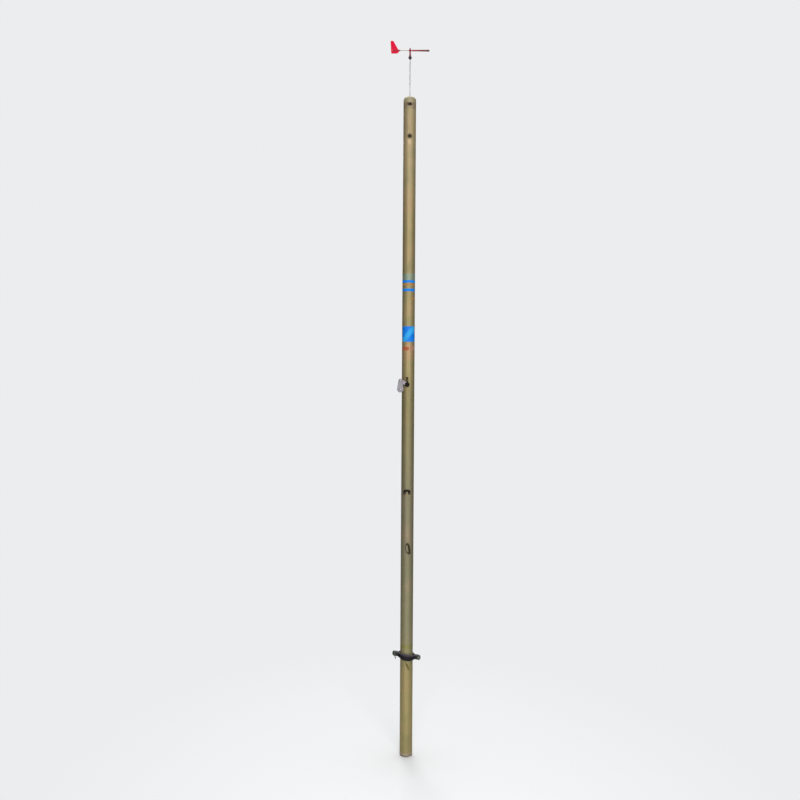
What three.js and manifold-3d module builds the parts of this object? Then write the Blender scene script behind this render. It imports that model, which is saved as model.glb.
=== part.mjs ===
// Mast of a small single-handed sailing dinghy, with its fittings and a wind vane on top.
// Millimetres. The origin is the centre of the heel face, +Z runs up the mast, the fittings face -Y,
// and the vane's tail points to -X.
import * as THREE from "three";
import { mergeVertices } from "three/addons/utils/BufferGeometryUtils.js";
import Module from "manifold-3d";

const wasm = await Module();
wasm.setup();

// ---------------------------------------------------------------- driving dimensions
// Spar
const SPAR_LENGTH = 2350; // heel face to crown of the top plug
const TUBE_DIAMETER = 45;
const TUBE_WALL = 1.8;
const PLUG_CLEARANCE = 0.15; // radial, between a plug and the bore of the tube
const SEAT_GAP = 0.3; // left between a fitting and the tube it is seated on
const HOLE_CLEARANCE = 0.2; // radial, round rivets, screws and bolts

// Heel plug
const HEEL_LIP = 12; // height of the rim under the tube
const HEEL_EDGE = 3; // rounding of the bottom edge
const HEEL_SPIGOT = 46;
const PLUG_SKIN = 3.2; // wall of the hollow spigots

// Top plug
const CAP_HEIGHT = 22; // from the end of the tube to the crown
const CAP_EDGE = 9; // rounding of the shoulder
const CAP_CROWN = 3; // rise of the crown above the shoulder
const CAP_SPIGOT = 52;
const CAP_SOLID = 34; // solid part of the spigot that the upper tie hole goes through

// Sail tie holes, measured down from the crown
const UPPER_TIE_DROP = 32;
const LOWER_TIE_DROP = 146;
const UPPER_TIE_DIAMETER = 9.6;
const TIE_BUSH_BORE = 9;
const TIE_BUSH_WALL = 1.6;
const TIE_BUSH_PROUD = 0.7; // how far the bush stands out of the tube

// Inside the tube
const SLEEVE_LENGTH = 620; // stiffening sleeve in the thwart region
const SLEEVE_WALL = 1.5;
const SLEEVE_BOTTOM = 64;
const BUNG_LENGTH = 50;
const BUNG_CLEARANCE = 0.4;
const TOP_BUNG_DROP = 240; // crown to the centre of the upper foam bung

// Spindle of the vane
const SPINDLE_DIAMETER = 3.2;
const SPINDLE_RISE = 141; // crown to the shoulder under the needle
const SOCKET_DEPTH = 20;
const SOCKET_DIAMETER = 8;
const NEEDLE_DIAMETER = 1.6;
const NEEDLE_LENGTH = 20;
const NEEDLE_POINT = 2.4; // length of the conical point
const FERRULE_DIAMETER = 12;
const FERRULE_LENGTH = 13;

// Vane
const ARM_ABOVE_NEEDLE = 5.5; // height of the arm over the needle's point
const HUB_DIAMETER = 5.4;
const HUB_BOSS_DIAMETER = 9;
const HUB_TOP = 9; // hub above the arm's axis
const CUP_DIAMETER = 3.6;
const CUP_HEIGHT = 4;
const VANE_RUN = 0.3; // running gap between vane and spindle
const ARM_DIAMETER = 2;
const ARM_REACH_NOSE = 63;
const ARM_REACH_TAIL = 60;
const NOSE_SLEEVE_START = 5.5;
const NOSE_SLEEVE_LENGTH = 52;
const NOSE_SLEEVE_DIAMETER = 5.4;
const NOSE_WEIGHT_LENGTH = 11.5;
const NOSE_WEIGHT_DIAMETER = 6.8;
const FIN_THICKNESS = 1.2;
const FIN_TOP = 34; // over the arm
const FIN_BOTTOM = 11; // under the arm
const FIN_REAR = 70; // distance of the rear edge from the spindle
const FIN_FRONT = 39;
const FIN_TOP_WIDTH = 10;
const FIN_SOCKET_DIAMETER = 5.2;
const FIN_SOCKET_LENGTH = 28;
const FIN_GROOVE_DEPTH = 1;
const FIN_FIT = 0.2;

// Halyard eye and block
const HALYARD_HEIGHT = 1322;
const HALYARD_X = -4;
const PAD_DIAMETER = 17;
const PAD_THICKNESS = 5.5;
const PAD_TAB_RISE = 23; // from the stud to the rivet in the tab
const PAD_TAB_WIDTH = 9;
const PAD_TAB_THICKNESS = 2.6;
const LUG_THICKNESS = 3;
const LUG_REACH = 24; // stud to the eye that carries the block
const LUG_RISE = 14.5;
const LUG_EYE_RADIUS = 5.2;
const LUG_HOLE = 4.6;
const STUD_DIAMETER = 5;
const STUD_HEAD_DIAMETER = 16;
const STUD_HEAD_HEIGHT = 4.2;
const BLOCK_PIN_DIAMETER = 3;
const BLOCK_DROP = 31; // head pin to sheave axle
const CHEEK_THICKNESS = 2.4;
const CHEEK_GAP = 8;
const CHEEK_HEAD_RADIUS = 6.5;
const CHEEK_RADIUS = 11.5;
const SHEAVE_DIAMETER = 19.6;
const SHEAVE_WIDTH = 7;
const SHEAVE_GROOVE = 2.9;
const AXLE_DIAMETER = 5;
const PIN_HEAD_HEIGHT = 1.2;

// Saddle fairlead
const FAIRLEAD_HEIGHT = 941;
const FAIRLEAD_X = -2;
const FAIRLEAD_WIDTH = 25;
const FAIRLEAD_TALL = 17;
const FAIRLEAD_LEG = 8; // width of a leg
const FAIRLEAD_STAND = 11.5; // crown above the tube
const FAIRLEAD_FOOT = 4.6; // foot above the tube
const FAIRLEAD_ROPE = 8; // way for the line under the crown
const FAIRLEAD_ROUND = 7; // rounding of the crown's corners, seen along the mast

// Jamming cleat
const CLEAT_HEIGHT = 740;
const CLEAT_X = 2.3;
const CLEAT_SLANT = -10; // degrees, top leaning to the left
const CLEAT_LENGTH = 39;
const CLEAT_WIDTH = 15.7;
const CLEAT_STAND = 13;
const CLEAT_BASE = 4.2;
const CLEAT_LUG = 6.6; // length of a screw lug at each end
const CLEAT_MOUTH = 9; // width of the groove at its top
const CLEAT_ROOT = 3;
const CLEAT_TEETH = 7;
const CLEAT_TOOTH_SLANT = 32; // degrees
const CLEAT_TOOTH_GAP = 1.5;

// Thwart clamp
const CLAMP_HEIGHT = 355;
const CLAMP_TILT = 9.5; // degrees, the loosened clamp hangs with its right end low
const LINER_HEIGHT = 16;
const LINER_WALL = 2.1;
const LINER_SPLIT = 3;
const CLAMP_WALL = 4.2;
const CLAMP_FRONT_HEIGHT = 24;
const CLAMP_EAR_HEIGHT = 14;
const CLAMP_EAR_REACH = 44; // mast axis to bolt axis
const CLAMP_EAR_DEPTH = 17; // both ears together
const CLAMP_PARTING = 2.4; // gap between the halves
const CLAMP_RUN = 0.3;
const BOLT_DIAMETER = 6;
const BOLT_HEAD_WIDTH = 10;
const BOLT_HEAD_HEIGHT = 4;
const WASHER_DIAMETER = 12.5;
const WASHER_THICKNESS = 1.4;
const NUT_THICKNESS = 5.2;
const WING_NUT_HUB = 11;
const WING_NUT_LENGTH = 7.5;
const WING_SPAN = 29;
const WING_THICKNESS = 2.4;
const WING_LEAN = 118; // degrees from +X, as the nut was left
const BOLT_END = 3; // thread showing past a nut

// Rivets and screws
const RIVET_DIAMETER = 3.8;
const RIVET_HEAD_DIAMETER = 6.6;
const RIVET_HEAD_HEIGHT = 1.5;
const RIVET_TAIL = 4; // length inside the tube wall
const SCREW_DIAMETER = 4;
const SCREW_HEAD_DIAMETER = 7;
const SCREW_HEAD_HEIGHT = 2.2;

// Facets
const TUBE_FACETS = 48;
const RING_FACETS = 48;
const WHEEL_FACETS = 32;
const SMALL_FACETS = 20;
const FASTENER_FACETS = 12;
const ARC_FACETS = 8;

// ---------------------------------------------------------------- sizes that follow
const tubeRadius = TUBE_DIAMETER / 2;
const boreRadius = tubeRadius - TUBE_WALL;
const plugRadius = boreRadius - PLUG_CLEARANCE;
const tubeTop = SPAR_LENGTH - CAP_HEIGHT;
const upperTie = SPAR_LENGTH - UPPER_TIE_DROP;
const lowerTie = SPAR_LENGTH - LOWER_TIE_DROP;
const bushRadius = TIE_BUSH_BORE / 2 + TIE_BUSH_WALL;
const seatRadius = tubeRadius + SEAT_GAP;

// ---------------------------------------------------------------- materials
function finish(color, roughness, metalness) {
  return new THREE.MeshStandardMaterial({ color, roughness, metalness });
}
const anodised = finish(0xb9a678, 0.38, 0.9);
const millFinish = finish(0xb4b6b8, 0.5, 0.9);
const tanPlastic = finish(0xc3b592, 0.6, 0);
const foam = finish(0xe6e1cf, 0.95, 0);
const stainless = finish(0xc4c6c8, 0.3, 1);
const blackPlastic = finish(0x18161a, 0.55, 0);
const plumPlastic = finish(0x46263a, 0.5, 0);
const redPlastic = finish(0xe0123c, 0.4, 0);
const darkRed = finish(0x97404c, 0.5, 0);
const brass = finish(0x8a5a3c, 0.4, 0.9);
const greyPlastic = finish(0xa7a2ab, 0.5, 0);
const castAlloy = finish(0x9a917a, 0.5, 0.8);
const rubber = finish(0x24222a, 0.9, 0);

// ---------------------------------------------------------------- modelling helpers
function solidOf(geometry) {
  const bare = geometry.clone();
  bare.deleteAttribute("normal");
  bare.deleteAttribute("uv");
  const merged = mergeVertices(bare, 1e-4);
  return new wasm.Manifold(
    new wasm.Mesh({
      numProp: 3,
      vertProperties: merged.attributes.position.array,
      triVerts: new Uint32Array(merged.index.array),
    }),
  );
}

function geometryOf(solid) {
  const mesh = solid.getMesh();
  const geometry = new THREE.BufferGeometry();
  geometry.setAttribute("position", new THREE.BufferAttribute(mesh.vertProperties, 3));
  geometry.setIndex(new THREE.BufferAttribute(mesh.triVerts, 1));
  geometry.computeVertexNormals();
  return geometry;
}

function cut(geometry, ...tools) {
  return geometryOf(tools.reduce((rest, tool) => rest.subtract(solidOf(tool)), solidOf(geometry)));
}

function join(...geometries) {
  return geometryOf(geometries.map(solidOf).reduce((whole, next) => whole.add(next)));
}

function common(first, second) {
  return geometryOf(solidOf(first).intersect(solidOf(second)));
}

// A profile of [radius, height] points, bottom to top, turned about Z.
function revolveZ(profile, facets) {
  const points = profile.map(([radius, height]) => new THREE.Vector2(radius, height));
  return new THREE.LatheGeometry(points, facets).rotateX(Math.PI / 2);
}

// The same profile turned about the line through (x, z) that runs towards the viewer, along -Y.
function revolveToFront(profile, facets, x, z) {
  return revolveZ(profile, facets).rotateX(Math.PI / 2).translate(x, 0, z);
}

// The same profile turned about X, its heights running to +X.
function revolveX(profile, facets, z) {
  return revolveZ(profile, facets).rotateY(Math.PI / 2).translate(0, 0, z);
}

function ringProfile(inner, outer, bottom, top) {
  return [
    [inner, bottom],
    [outer, bottom],
    [outer, top],
    [inner, top],
    [inner, bottom],
  ];
}

function discProfile(radius, bottom, top) {
  return [
    [0, bottom],
    [radius, bottom],
    [radius, top],
    [0, top],
  ];
}

// Points of a quarter turn from one angle to another, in degrees, round a centre in the profile plane.
function arcPoints(centreRadius, centreHeight, radius, from, to, steps) {
  const points = [];
  for (let i = 0; i <= steps; i += 1) {
    const angle = THREE.MathUtils.degToRad(from + ((to - from) * i) / steps);
    points.push([centreRadius + radius * Math.cos(angle), centreHeight + radius * Math.sin(angle)]);
  }
  return points;
}

// A flat outline in X and Z, given thickness from y = front to y = back, front being the lower value.
function plateXZ(shape, front, back, curveSegments = ARC_FACETS, bevel = 0) {
  const geometry = new THREE.ExtrudeGeometry(shape, {
    depth: back - front - 2 * bevel,
    bevelEnabled: bevel > 0,
    bevelThickness: bevel,
    bevelSize: bevel,
    bevelOffset: -bevel,
    bevelSegments: 1,
    curveSegments,
  });
  return geometry.rotateX(Math.PI / 2).translate(0, back - bevel, 0);
}

function polygon(points) {
  return new THREE.Shape(points.map(([x, y]) => new THREE.Vector2(x, y)));
}

function box(x0, x1, y0, y1, z0, z1) {
  const geometry = new THREE.BoxGeometry(x1 - x0, y1 - y0, z1 - z0);
  return geometry.translate((x0 + x1) / 2, (y0 + y1) / 2, (z0 + z1) / 2);
}

// The outline round two circles and their outer tangents.
function linkOutline(a, radiusA, b, radiusB) {
  const along = Math.atan2(b[1] - a[1], b[0] - a[0]);
  const lean = Math.acos((radiusA - radiusB) / Math.hypot(b[0] - a[0], b[1] - a[1]));
  const shape = new THREE.Shape();
  shape.absarc(a[0], a[1], radiusA, along + lean, along - lean + 2 * Math.PI, false);
  shape.absarc(b[0], b[1], radiusB, along - lean, along + lean, false);
  return shape;
}

// ---------------------------------------------------------------- assembly helpers
const mast = new THREE.Group();

function addTo(group, name, geometry, material) {
  const mesh = new THREE.Mesh(geometry, material);
  mesh.name = name;
  group.add(mesh);
}

function add(name, geometry, material) {
  addTo(mast, name, geometry, material);
}

// Depth, as a distance from the mast axis, of the tube's outer face under a point off to one side.
function faceDepth(x) {
  return Math.sqrt(tubeRadius * tubeRadius - x * x);
}

// A domed fastener along Y at (x, z), its head seated on a face at y = -seat.
function fastener(x, z, seat, shankDiameter, headDiameter, headHeight) {
  const tail = faceDepth(x) - TUBE_WALL - RIVET_TAIL;
  const head = seat + SEAT_GAP / 2;
  const crown = [];
  for (let i = 0; i <= 3; i += 1) {
    const angle = (Math.PI / 2) * (i / 3);
    crown.push([(headDiameter / 2) * Math.cos(angle), head + headHeight * (0.35 + 0.65 * Math.sin(angle))]);
  }
  crown[crown.length - 1][0] = 0;
  const profile = [[0, tail], [shankDiameter / 2, tail], [shankDiameter / 2, head], [headDiameter / 2, head]];
  return revolveToFront([...profile, ...crown], FASTENER_FACETS, x, z);
}

function fastenerHole(x, z, diameter) {
  const radius = diameter / 2 + HOLE_CLEARANCE;
  return revolveToFront(discProfile(radius, 0, 2 * tubeRadius), FASTENER_FACETS, x, z);
}

// The round face of the mast that fittings are shaped to, over a stretch of its height.
function mastFace(height, halfLength) {
  return revolveZ(discProfile(seatRadius, height - halfLength, height + halfLength), TUBE_FACETS);
}

// ---------------------------------------------------------------- spar
const padRivetZ = HALYARD_HEIGHT + PAD_TAB_RISE;
const fairleadRivetZ = FAIRLEAD_HEIGHT - FAIRLEAD_TALL / 4;
const fairleadRivetX = (FAIRLEAD_WIDTH - FAIRLEAD_LEG) / 2;
const cleatSlant = THREE.MathUtils.degToRad(CLEAT_SLANT);
const cleatScrewReach = (CLEAT_LENGTH - CLEAT_LUG) / 2;

function cleatScrewPlace(end) {
  return [
    CLEAT_X + end * cleatScrewReach * Math.sin(cleatSlant),
    CLEAT_HEIGHT + end * cleatScrewReach * Math.cos(cleatSlant),
  ];
}

function tieHole(height, radius) {
  return revolveToFront(discProfile(radius, -2 * tubeRadius, 2 * tubeRadius), SMALL_FACETS, 0, height);
}

// Every hole for a rivet, stud or screw. They are drilled through the tube and through whatever lines it.
function fastenerHoles() {
  return [
    fastenerHole(HALYARD_X, HALYARD_HEIGHT, STUD_DIAMETER),
    fastenerHole(HALYARD_X, padRivetZ, RIVET_DIAMETER),
    fastenerHole(FAIRLEAD_X - fairleadRivetX, fairleadRivetZ, RIVET_DIAMETER),
    fastenerHole(FAIRLEAD_X + fairleadRivetX, fairleadRivetZ, RIVET_DIAMETER),
    fastenerHole(...cleatScrewPlace(1), SCREW_DIAMETER),
    fastenerHole(...cleatScrewPlace(-1), SCREW_DIAMETER),
  ];
}

function mastTube() {
  const pipe = revolveZ(ringProfile(boreRadius, tubeRadius, HEEL_LIP, tubeTop), TUBE_FACETS);
  return cut(
    pipe,
    tieHole(upperTie, UPPER_TIE_DIAMETER / 2),
    tieHole(lowerTie, bushRadius + HOLE_CLEARANCE),
    ...fastenerHoles(),
  );
}

function heelPlug() {
  const top = HEEL_LIP + HEEL_SPIGOT;
  const profile = [
    [0, 0],
    ...arcPoints(tubeRadius - HEEL_EDGE, HEEL_EDGE, HEEL_EDGE, -90, 0, 3),
    [tubeRadius, HEEL_LIP],
    [plugRadius, HEEL_LIP],
    [plugRadius, top - 1.5],
    [plugRadius - 1.5, top],
    [plugRadius - PLUG_SKIN, top],
    [plugRadius - PLUG_SKIN, HEEL_LIP],
    [0, HEEL_LIP],
  ];
  return revolveZ(profile, TUBE_FACETS);
}

function topPlug() {
  const shoulder = SPAR_LENGTH - CAP_CROWN;
  const bottom = tubeTop - CAP_SPIGOT;
  const flat = tubeRadius - CAP_EDGE;
  const crown = [];
  for (let i = 1; i < 4; i += 1) {
    const radius = flat * (1 - i / 4);
    crown.push([radius, shoulder + CAP_CROWN * (1 - (radius / flat) ** 2)]);
  }
  const profile = [
    [0, tubeTop - CAP_SOLID],
    [plugRadius - PLUG_SKIN, tubeTop - CAP_SOLID],
    [plugRadius - PLUG_SKIN, bottom],
    [plugRadius - 1.5, bottom],
    [plugRadius, bottom + 1.5],
    [plugRadius, tubeTop],
    [tubeRadius, tubeTop],
    ...arcPoints(flat, shoulder - CAP_EDGE, CAP_EDGE, 0, 90, 5),
    ...crown,
    [0, SPAR_LENGTH],
  ];
  const socketHole = discProfile(
    SOCKET_DIAMETER / 2 + HOLE_CLEARANCE,
    SPAR_LENGTH - SOCKET_DEPTH - SEAT_GAP,
    SPAR_LENGTH + CAP_CROWN,
  );
  return cut(
    revolveZ(profile, TUBE_FACETS),
    tieHole(upperTie, UPPER_TIE_DIAMETER / 2),
    revolveZ(socketHole, SMALL_FACETS),
  );
}

function tieBush() {
  const length = 2 * tubeRadius;
  const pipe = revolveToFront(
    ringProfile(TIE_BUSH_BORE / 2, bushRadius, -length, length),
    SMALL_FACETS,
    0,
    lowerTie,
  );
  const ends = discProfile(tubeRadius + TIE_BUSH_PROUD, lowerTie - length, lowerTie + length);
  return common(pipe, revolveZ(ends, TUBE_FACETS));
}

const sleeveRadius = boreRadius - PLUG_CLEARANCE;
const sleeveBore = sleeveRadius - SLEEVE_WALL;
const topBungZ = SPAR_LENGTH - TOP_BUNG_DROP;

function stiffeningSleeve() {
  const top = SLEEVE_BOTTOM + SLEEVE_LENGTH;
  const lining = revolveZ(ringProfile(sleeveBore, sleeveRadius, SLEEVE_BOTTOM, top), TUBE_FACETS);
  return cut(lining, ...fastenerHoles());
}

function bung(radius, centre) {
  return revolveZ(discProfile(radius, centre - BUNG_LENGTH / 2, centre + BUNG_LENGTH / 2), SMALL_FACETS);
}

add("mast_tube", mastTube(), anodised);
add("heel_plug", heelPlug(), tanPlastic);
add("top_plug", topPlug(), tanPlastic);
add("sail_tie_bush", tieBush(), tanPlastic);
add("stiffening_sleeve", stiffeningSleeve(), millFinish);
add("foam_bung_heel", bung(sleeveBore - BUNG_CLEARANCE, SLEEVE_BOTTOM + BUNG_LENGTH / 2 + 2), foam);
add("foam_bung_top", bung(boreRadius - BUNG_CLEARANCE, topBungZ), foam);

// ---------------------------------------------------------------- vane spindle
const spindleRadius = SPINDLE_DIAMETER / 2;
const spindleShoulder = SPAR_LENGTH + SPINDLE_RISE;
const needleTip = spindleShoulder + NEEDLE_LENGTH;
const needleRadius = NEEDLE_DIAMETER / 2;
const armZ = needleTip + ARM_ABOVE_NEEDLE;
const ferruleTop = spindleShoulder + FERRULE_LENGTH / 2;

function spindleSocket() {
  const bottom = SPAR_LENGTH - SOCKET_DEPTH;
  const bore = spindleRadius + HOLE_CLEARANCE / 2;
  const outer = SOCKET_DIAMETER / 2;
  const profile = [
    [0, bottom],
    [outer, bottom],
    [outer, SPAR_LENGTH],
    [outer - 1, SPAR_LENGTH + 1],
    [bore, SPAR_LENGTH + 1],
    [bore, bottom + 2],
    [0, bottom + 2],
  ];
  return revolveZ(profile, SMALL_FACETS);
}

function spindle() {
  const profile = [
    [0, SPAR_LENGTH - SOCKET_DEPTH + 2 + SEAT_GAP],
    [spindleRadius, SPAR_LENGTH - SOCKET_DEPTH + 2 + SEAT_GAP],
    [spindleRadius, spindleShoulder - 1],
    [needleRadius, spindleShoulder],
    [needleRadius, needleTip - NEEDLE_POINT],
    [0, needleTip],
  ];
  return revolveZ(profile, SMALL_FACETS);
}

// A black bulb gripping the rod's end and sheltering the foot of the needle.
function ferrule() {
  const radius = FERRULE_DIAMETER / 2;
  const bottom = ferruleTop - FERRULE_LENGTH;
  const wall = [];
  const steps = 8;
  for (let i = 0; i <= steps; i += 1) {
    const share = i / steps;
    const swell = Math.sin(Math.PI * (0.12 + 0.76 * share)) ** 0.8;
    wall.push([radius * swell, bottom + FERRULE_LENGTH * share]);
  }
  const rodBore = spindleRadius + HOLE_CLEARANCE / 2;
  const needleBore = needleRadius + HOLE_CLEARANCE;
  const profile = [
    [rodBore, bottom],
    ...wall,
    [needleBore, ferruleTop],
    [needleBore, spindleShoulder + SEAT_GAP],
    [rodBore, spindleShoulder + SEAT_GAP],
    [rodBore, bottom],
  ];
  return revolveZ(profile, SMALL_FACETS);
}

add("spindle_socket", spindleSocket(), stainless);
add("vane_spindle", spindle(), stainless);
add("spindle_ferrule", ferrule(), plumPlastic);

// ---------------------------------------------------------------- vane
const hubRadius = HUB_DIAMETER / 2;
const cupRadius = CUP_DIAMETER / 2;
const cupRoof = needleTip + VANE_RUN;
const cupTop = cupRoof + 1;
const hubBore = cupRadius + HOLE_CLEARANCE / 4;
const armRadius = ARM_DIAMETER / 2;
const armHole = armRadius + HOLE_CLEARANCE / 4;

function vaneHub() {
  const bottom = ferruleTop + VANE_RUN;
  const boss = HUB_BOSS_DIAMETER / 2;
  const skirt = hubRadius + 0.9;
  const profile = [
    [hubBore, bottom],
    [skirt, bottom],
    [hubRadius, bottom + 4],
    [hubRadius, armZ - boss],
    ...arcPoints(0, armZ, boss, -50, 50, 5),
    [hubRadius - 0.4, armZ + HUB_TOP - 2],
    [hubRadius - 1.4, armZ + HUB_TOP],
    [0, armZ + HUB_TOP],
    [0, cupTop + VANE_RUN / 3],
    [hubBore, cupTop + VANE_RUN / 3],
    [hubBore, bottom],
  ];
  const cross = revolveX(discProfile(armHole, -HUB_BOSS_DIAMETER, HUB_BOSS_DIAMETER), SMALL_FACETS, armZ);
  return cut(revolveZ(profile, SMALL_FACETS), cross);
}

function bearingCup() {
  const bottom = cupTop - CUP_HEIGHT;
  const mouth = needleRadius + VANE_RUN;
  const profile = [
    [mouth, bottom],
    [cupRadius, bottom],
    [cupRadius, cupTop],
    [0, cupTop],
    [0, cupRoof],
    [mouth, cupRoof - NEEDLE_POINT * (mouth / needleRadius)],
    [mouth, bottom],
  ];
  return revolveZ(profile, SMALL_FACETS);
}

function noseSleeve() {
  const radius = NOSE_SLEEVE_DIAMETER / 2;
  const end = NOSE_SLEEVE_START + NOSE_SLEEVE_LENGTH;
  const profile = [
    [armHole, NOSE_SLEEVE_START],
    [radius - 0.7, NOSE_SLEEVE_START],
    [radius - 0.2, NOSE_SLEEVE_START + 3],
    [radius + 0.3, end - 1],
    [radius, end],
    [armHole, end],
    [armHole, NOSE_SLEEVE_START],
  ];
  return revolveX(profile, SMALL_FACETS, armZ);
}

function noseWeight() {
  const radius = NOSE_WEIGHT_DIAMETER / 2;
  const start = NOSE_SLEEVE_START + NOSE_SLEEVE_LENGTH + SEAT_GAP;
  const end = start + NOSE_WEIGHT_LENGTH;
  const profile = [
    [armHole, start],
    [radius, start],
    ...arcPoints(0, end - radius, radius, 0, 90, 4).slice(0, -1),
    [0, end],
    [0, ARM_REACH_NOSE + SEAT_GAP],
    [armHole, ARM_REACH_NOSE + SEAT_GAP],
    [armHole, start],
  ];
  return revolveX(profile, SMALL_FACETS, armZ);
}

// The socket grips the notch of the fin with a groove along its top and one along its bottom.
function finSocket() {
  const radius = FIN_SOCKET_DIAMETER / 2;
  const start = -FIN_FRONT - FIN_SOCKET_LENGTH + 4;
  const end = -FIN_FRONT + 4;
  const profile = [
    [0, start],
    [radius - 0.8, start],
    [radius, start + 1],
    [radius, end - 3],
    [radius - 1, end],
    [armHole, end],
    [armHole, -ARM_REACH_TAIL - SEAT_GAP],
    [0, -ARM_REACH_TAIL - SEAT_GAP],
  ];
  const half = FIN_THICKNESS / 2 + FIN_FIT;
  const depth = radius - FIN_GROOVE_DEPTH;
  const upper = box(start - 1, end + 1, -half, half, armZ + depth, armZ + radius + 1);
  const lower = box(start - 1, end + 1, -half, half, armZ - radius - 1, armZ - depth);
  return cut(revolveX(profile, SMALL_FACETS, armZ), upper, lower);
}

function tailFin() {
  const shape = new THREE.Shape();
  shape.moveTo(-FIN_REAR + 1.5, armZ + FIN_TOP);
  shape.lineTo(-FIN_REAR + FIN_TOP_WIDTH - 2, armZ + FIN_TOP);
  shape.quadraticCurveTo(
    -FIN_REAR + FIN_TOP_WIDTH, armZ + FIN_TOP,
    -FIN_REAR + FIN_TOP_WIDTH + 1, armZ + FIN_TOP - 2,
  );
  shape.lineTo(-FIN_FRONT - 1, armZ - 1);
  shape.quadraticCurveTo(-FIN_FRONT, armZ - 3, -FIN_FRONT - 1.5, armZ - 5.5);
  shape.quadraticCurveTo(-FIN_FRONT - 5, armZ - FIN_BOTTOM, -FIN_FRONT - 12, armZ - FIN_BOTTOM);
  shape.lineTo(-FIN_REAR + 6, armZ - FIN_BOTTOM);
  shape.quadraticCurveTo(-FIN_REAR + 2.5, armZ - FIN_BOTTOM, -FIN_REAR + 2.2, armZ - FIN_BOTTOM + 4);
  shape.lineTo(-FIN_REAR, armZ + FIN_TOP - 2);
  shape.quadraticCurveTo(-FIN_REAR, armZ + FIN_TOP, -FIN_REAR + 1.5, armZ + FIN_TOP);
  const blade = plateXZ(shape, -FIN_THICKNESS / 2, FIN_THICKNESS / 2);
  const notch = FIN_SOCKET_DIAMETER / 2 - FIN_GROOVE_DEPTH + FIN_FIT;
  const notchEnd = -FIN_FRONT - FIN_SOCKET_LENGTH + 4 - SEAT_GAP;
  return cut(blade, box(notchEnd, 0, -FIN_THICKNESS, FIN_THICKNESS, armZ - notch, armZ + notch));
}

const armRod = revolveX(discProfile(armRadius, -ARM_REACH_TAIL, ARM_REACH_NOSE), SMALL_FACETS, armZ);

add("vane_hub", vaneHub(), redPlastic);
add("vane_bearing_cup", bearingCup(), stainless);
add("vane_arm_rod", armRod, stainless);
add("vane_nose_sleeve", noseSleeve(), darkRed);
add("vane_nose_weight", noseWeight(), brass);
add("vane_fin_socket", finSocket(), darkRed);
add("vane_tail_fin", tailFin(), redPlastic);

// ---------------------------------------------------------------- halyard eye
const padFace = tubeRadius + PAD_THICKNESS;
const lugBack = padFace + SEAT_GAP;
const lugFront = lugBack + LUG_THICKNESS;
const lugCentre = (lugBack + lugFront) / 2;
const lugEyeX = HALYARD_X - LUG_REACH;
const lugEyeZ = HALYARD_HEIGHT + LUG_RISE;

function halyardPad() {
  const boss = revolveToFront(
    [
      [0, 0],
      [PAD_DIAMETER / 2, 0],
      [PAD_DIAMETER / 2, padFace - 1],
      [PAD_DIAMETER / 2 - 1, padFace],
      [0, padFace],
    ],
    WHEEL_FACETS,
    HALYARD_X,
    HALYARD_HEIGHT,
  );
  const outline = linkOutline(
    [HALYARD_X, HALYARD_HEIGHT], PAD_TAB_WIDTH / 2,
    [HALYARD_X, padRivetZ], PAD_TAB_WIDTH / 2 - 0.01,
  );
  const tab = plateXZ(outline, -faceDepth(HALYARD_X) - PAD_TAB_THICKNESS, 0);
  return cut(
    join(boss, tab),
    mastFace(HALYARD_HEIGHT, 2 * PAD_TAB_RISE),
    fastenerHole(HALYARD_X, HALYARD_HEIGHT, STUD_DIAMETER),
    fastenerHole(HALYARD_X, padRivetZ, RIVET_DIAMETER),
  );
}

function halyardLug() {
  const outline = linkOutline(
    [HALYARD_X, HALYARD_HEIGHT], PAD_DIAMETER / 2 - 1.5,
    [lugEyeX, lugEyeZ], LUG_EYE_RADIUS,
  );
  const eye = revolveToFront(discProfile(LUG_HOLE / 2, 0, 2 * lugFront), SMALL_FACETS, lugEyeX, lugEyeZ);
  return cut(
    plateXZ(outline, -lugFront, -lugBack, ARC_FACETS, 0.5),
    eye,
    fastenerHole(HALYARD_X, HALYARD_HEIGHT, STUD_DIAMETER),
  );
}

add("halyard_pad", halyardPad(), blackPlastic);
add("halyard_lug", halyardLug(), stainless);
add(
  "halyard_stud",
  fastener(HALYARD_X, HALYARD_HEIGHT, lugFront, STUD_DIAMETER, STUD_HEAD_DIAMETER, STUD_HEAD_HEIGHT),
  blackPlastic,
);
add(
  "halyard_pad_rivet",
  fastener(
    HALYARD_X, padRivetZ, faceDepth(HALYARD_X) + PAD_TAB_THICKNESS,
    RIVET_DIAMETER, RIVET_HEAD_DIAMETER, RIVET_HEAD_HEIGHT,
  ),
  stainless,
);

// ---------------------------------------------------------------- halyard block
// The head pin lies in the bottom of the lug's eye, and everything below hangs from it.
const pinRadius = BLOCK_PIN_DIAMETER / 2;
const pinX = lugEyeX;
const pinZ = lugEyeZ - (LUG_HOLE / 2 - pinRadius - SEAT_GAP);
const axleZ = pinZ - BLOCK_DROP;
const cheekInner = CHEEK_GAP / 2;
const cheekOuter = cheekInner + CHEEK_THICKNESS;
const axleRadius = AXLE_DIAMETER / 2;

function cheek(side) {
  const outline = linkOutline([pinX, axleZ], CHEEK_RADIUS, [pinX, pinZ], CHEEK_HEAD_RADIUS);
  const near = Math.min(side * cheekInner, side * cheekOuter) - lugCentre;
  const far = Math.max(side * cheekInner, side * cheekOuter) - lugCentre;
  const pinHole = discProfile(pinRadius + HOLE_CLEARANCE / 2, 0, 2 * lugCentre);
  const axleHole = discProfile(axleRadius + HOLE_CLEARANCE / 2, 0, 2 * lugCentre);
  return cut(
    plateXZ(outline, near, far, ARC_FACETS, 0.7),
    revolveToFront(pinHole, SMALL_FACETS, pinX, pinZ),
    revolveToFront(axleHole, SMALL_FACETS, pinX, axleZ),
  );
}

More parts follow.
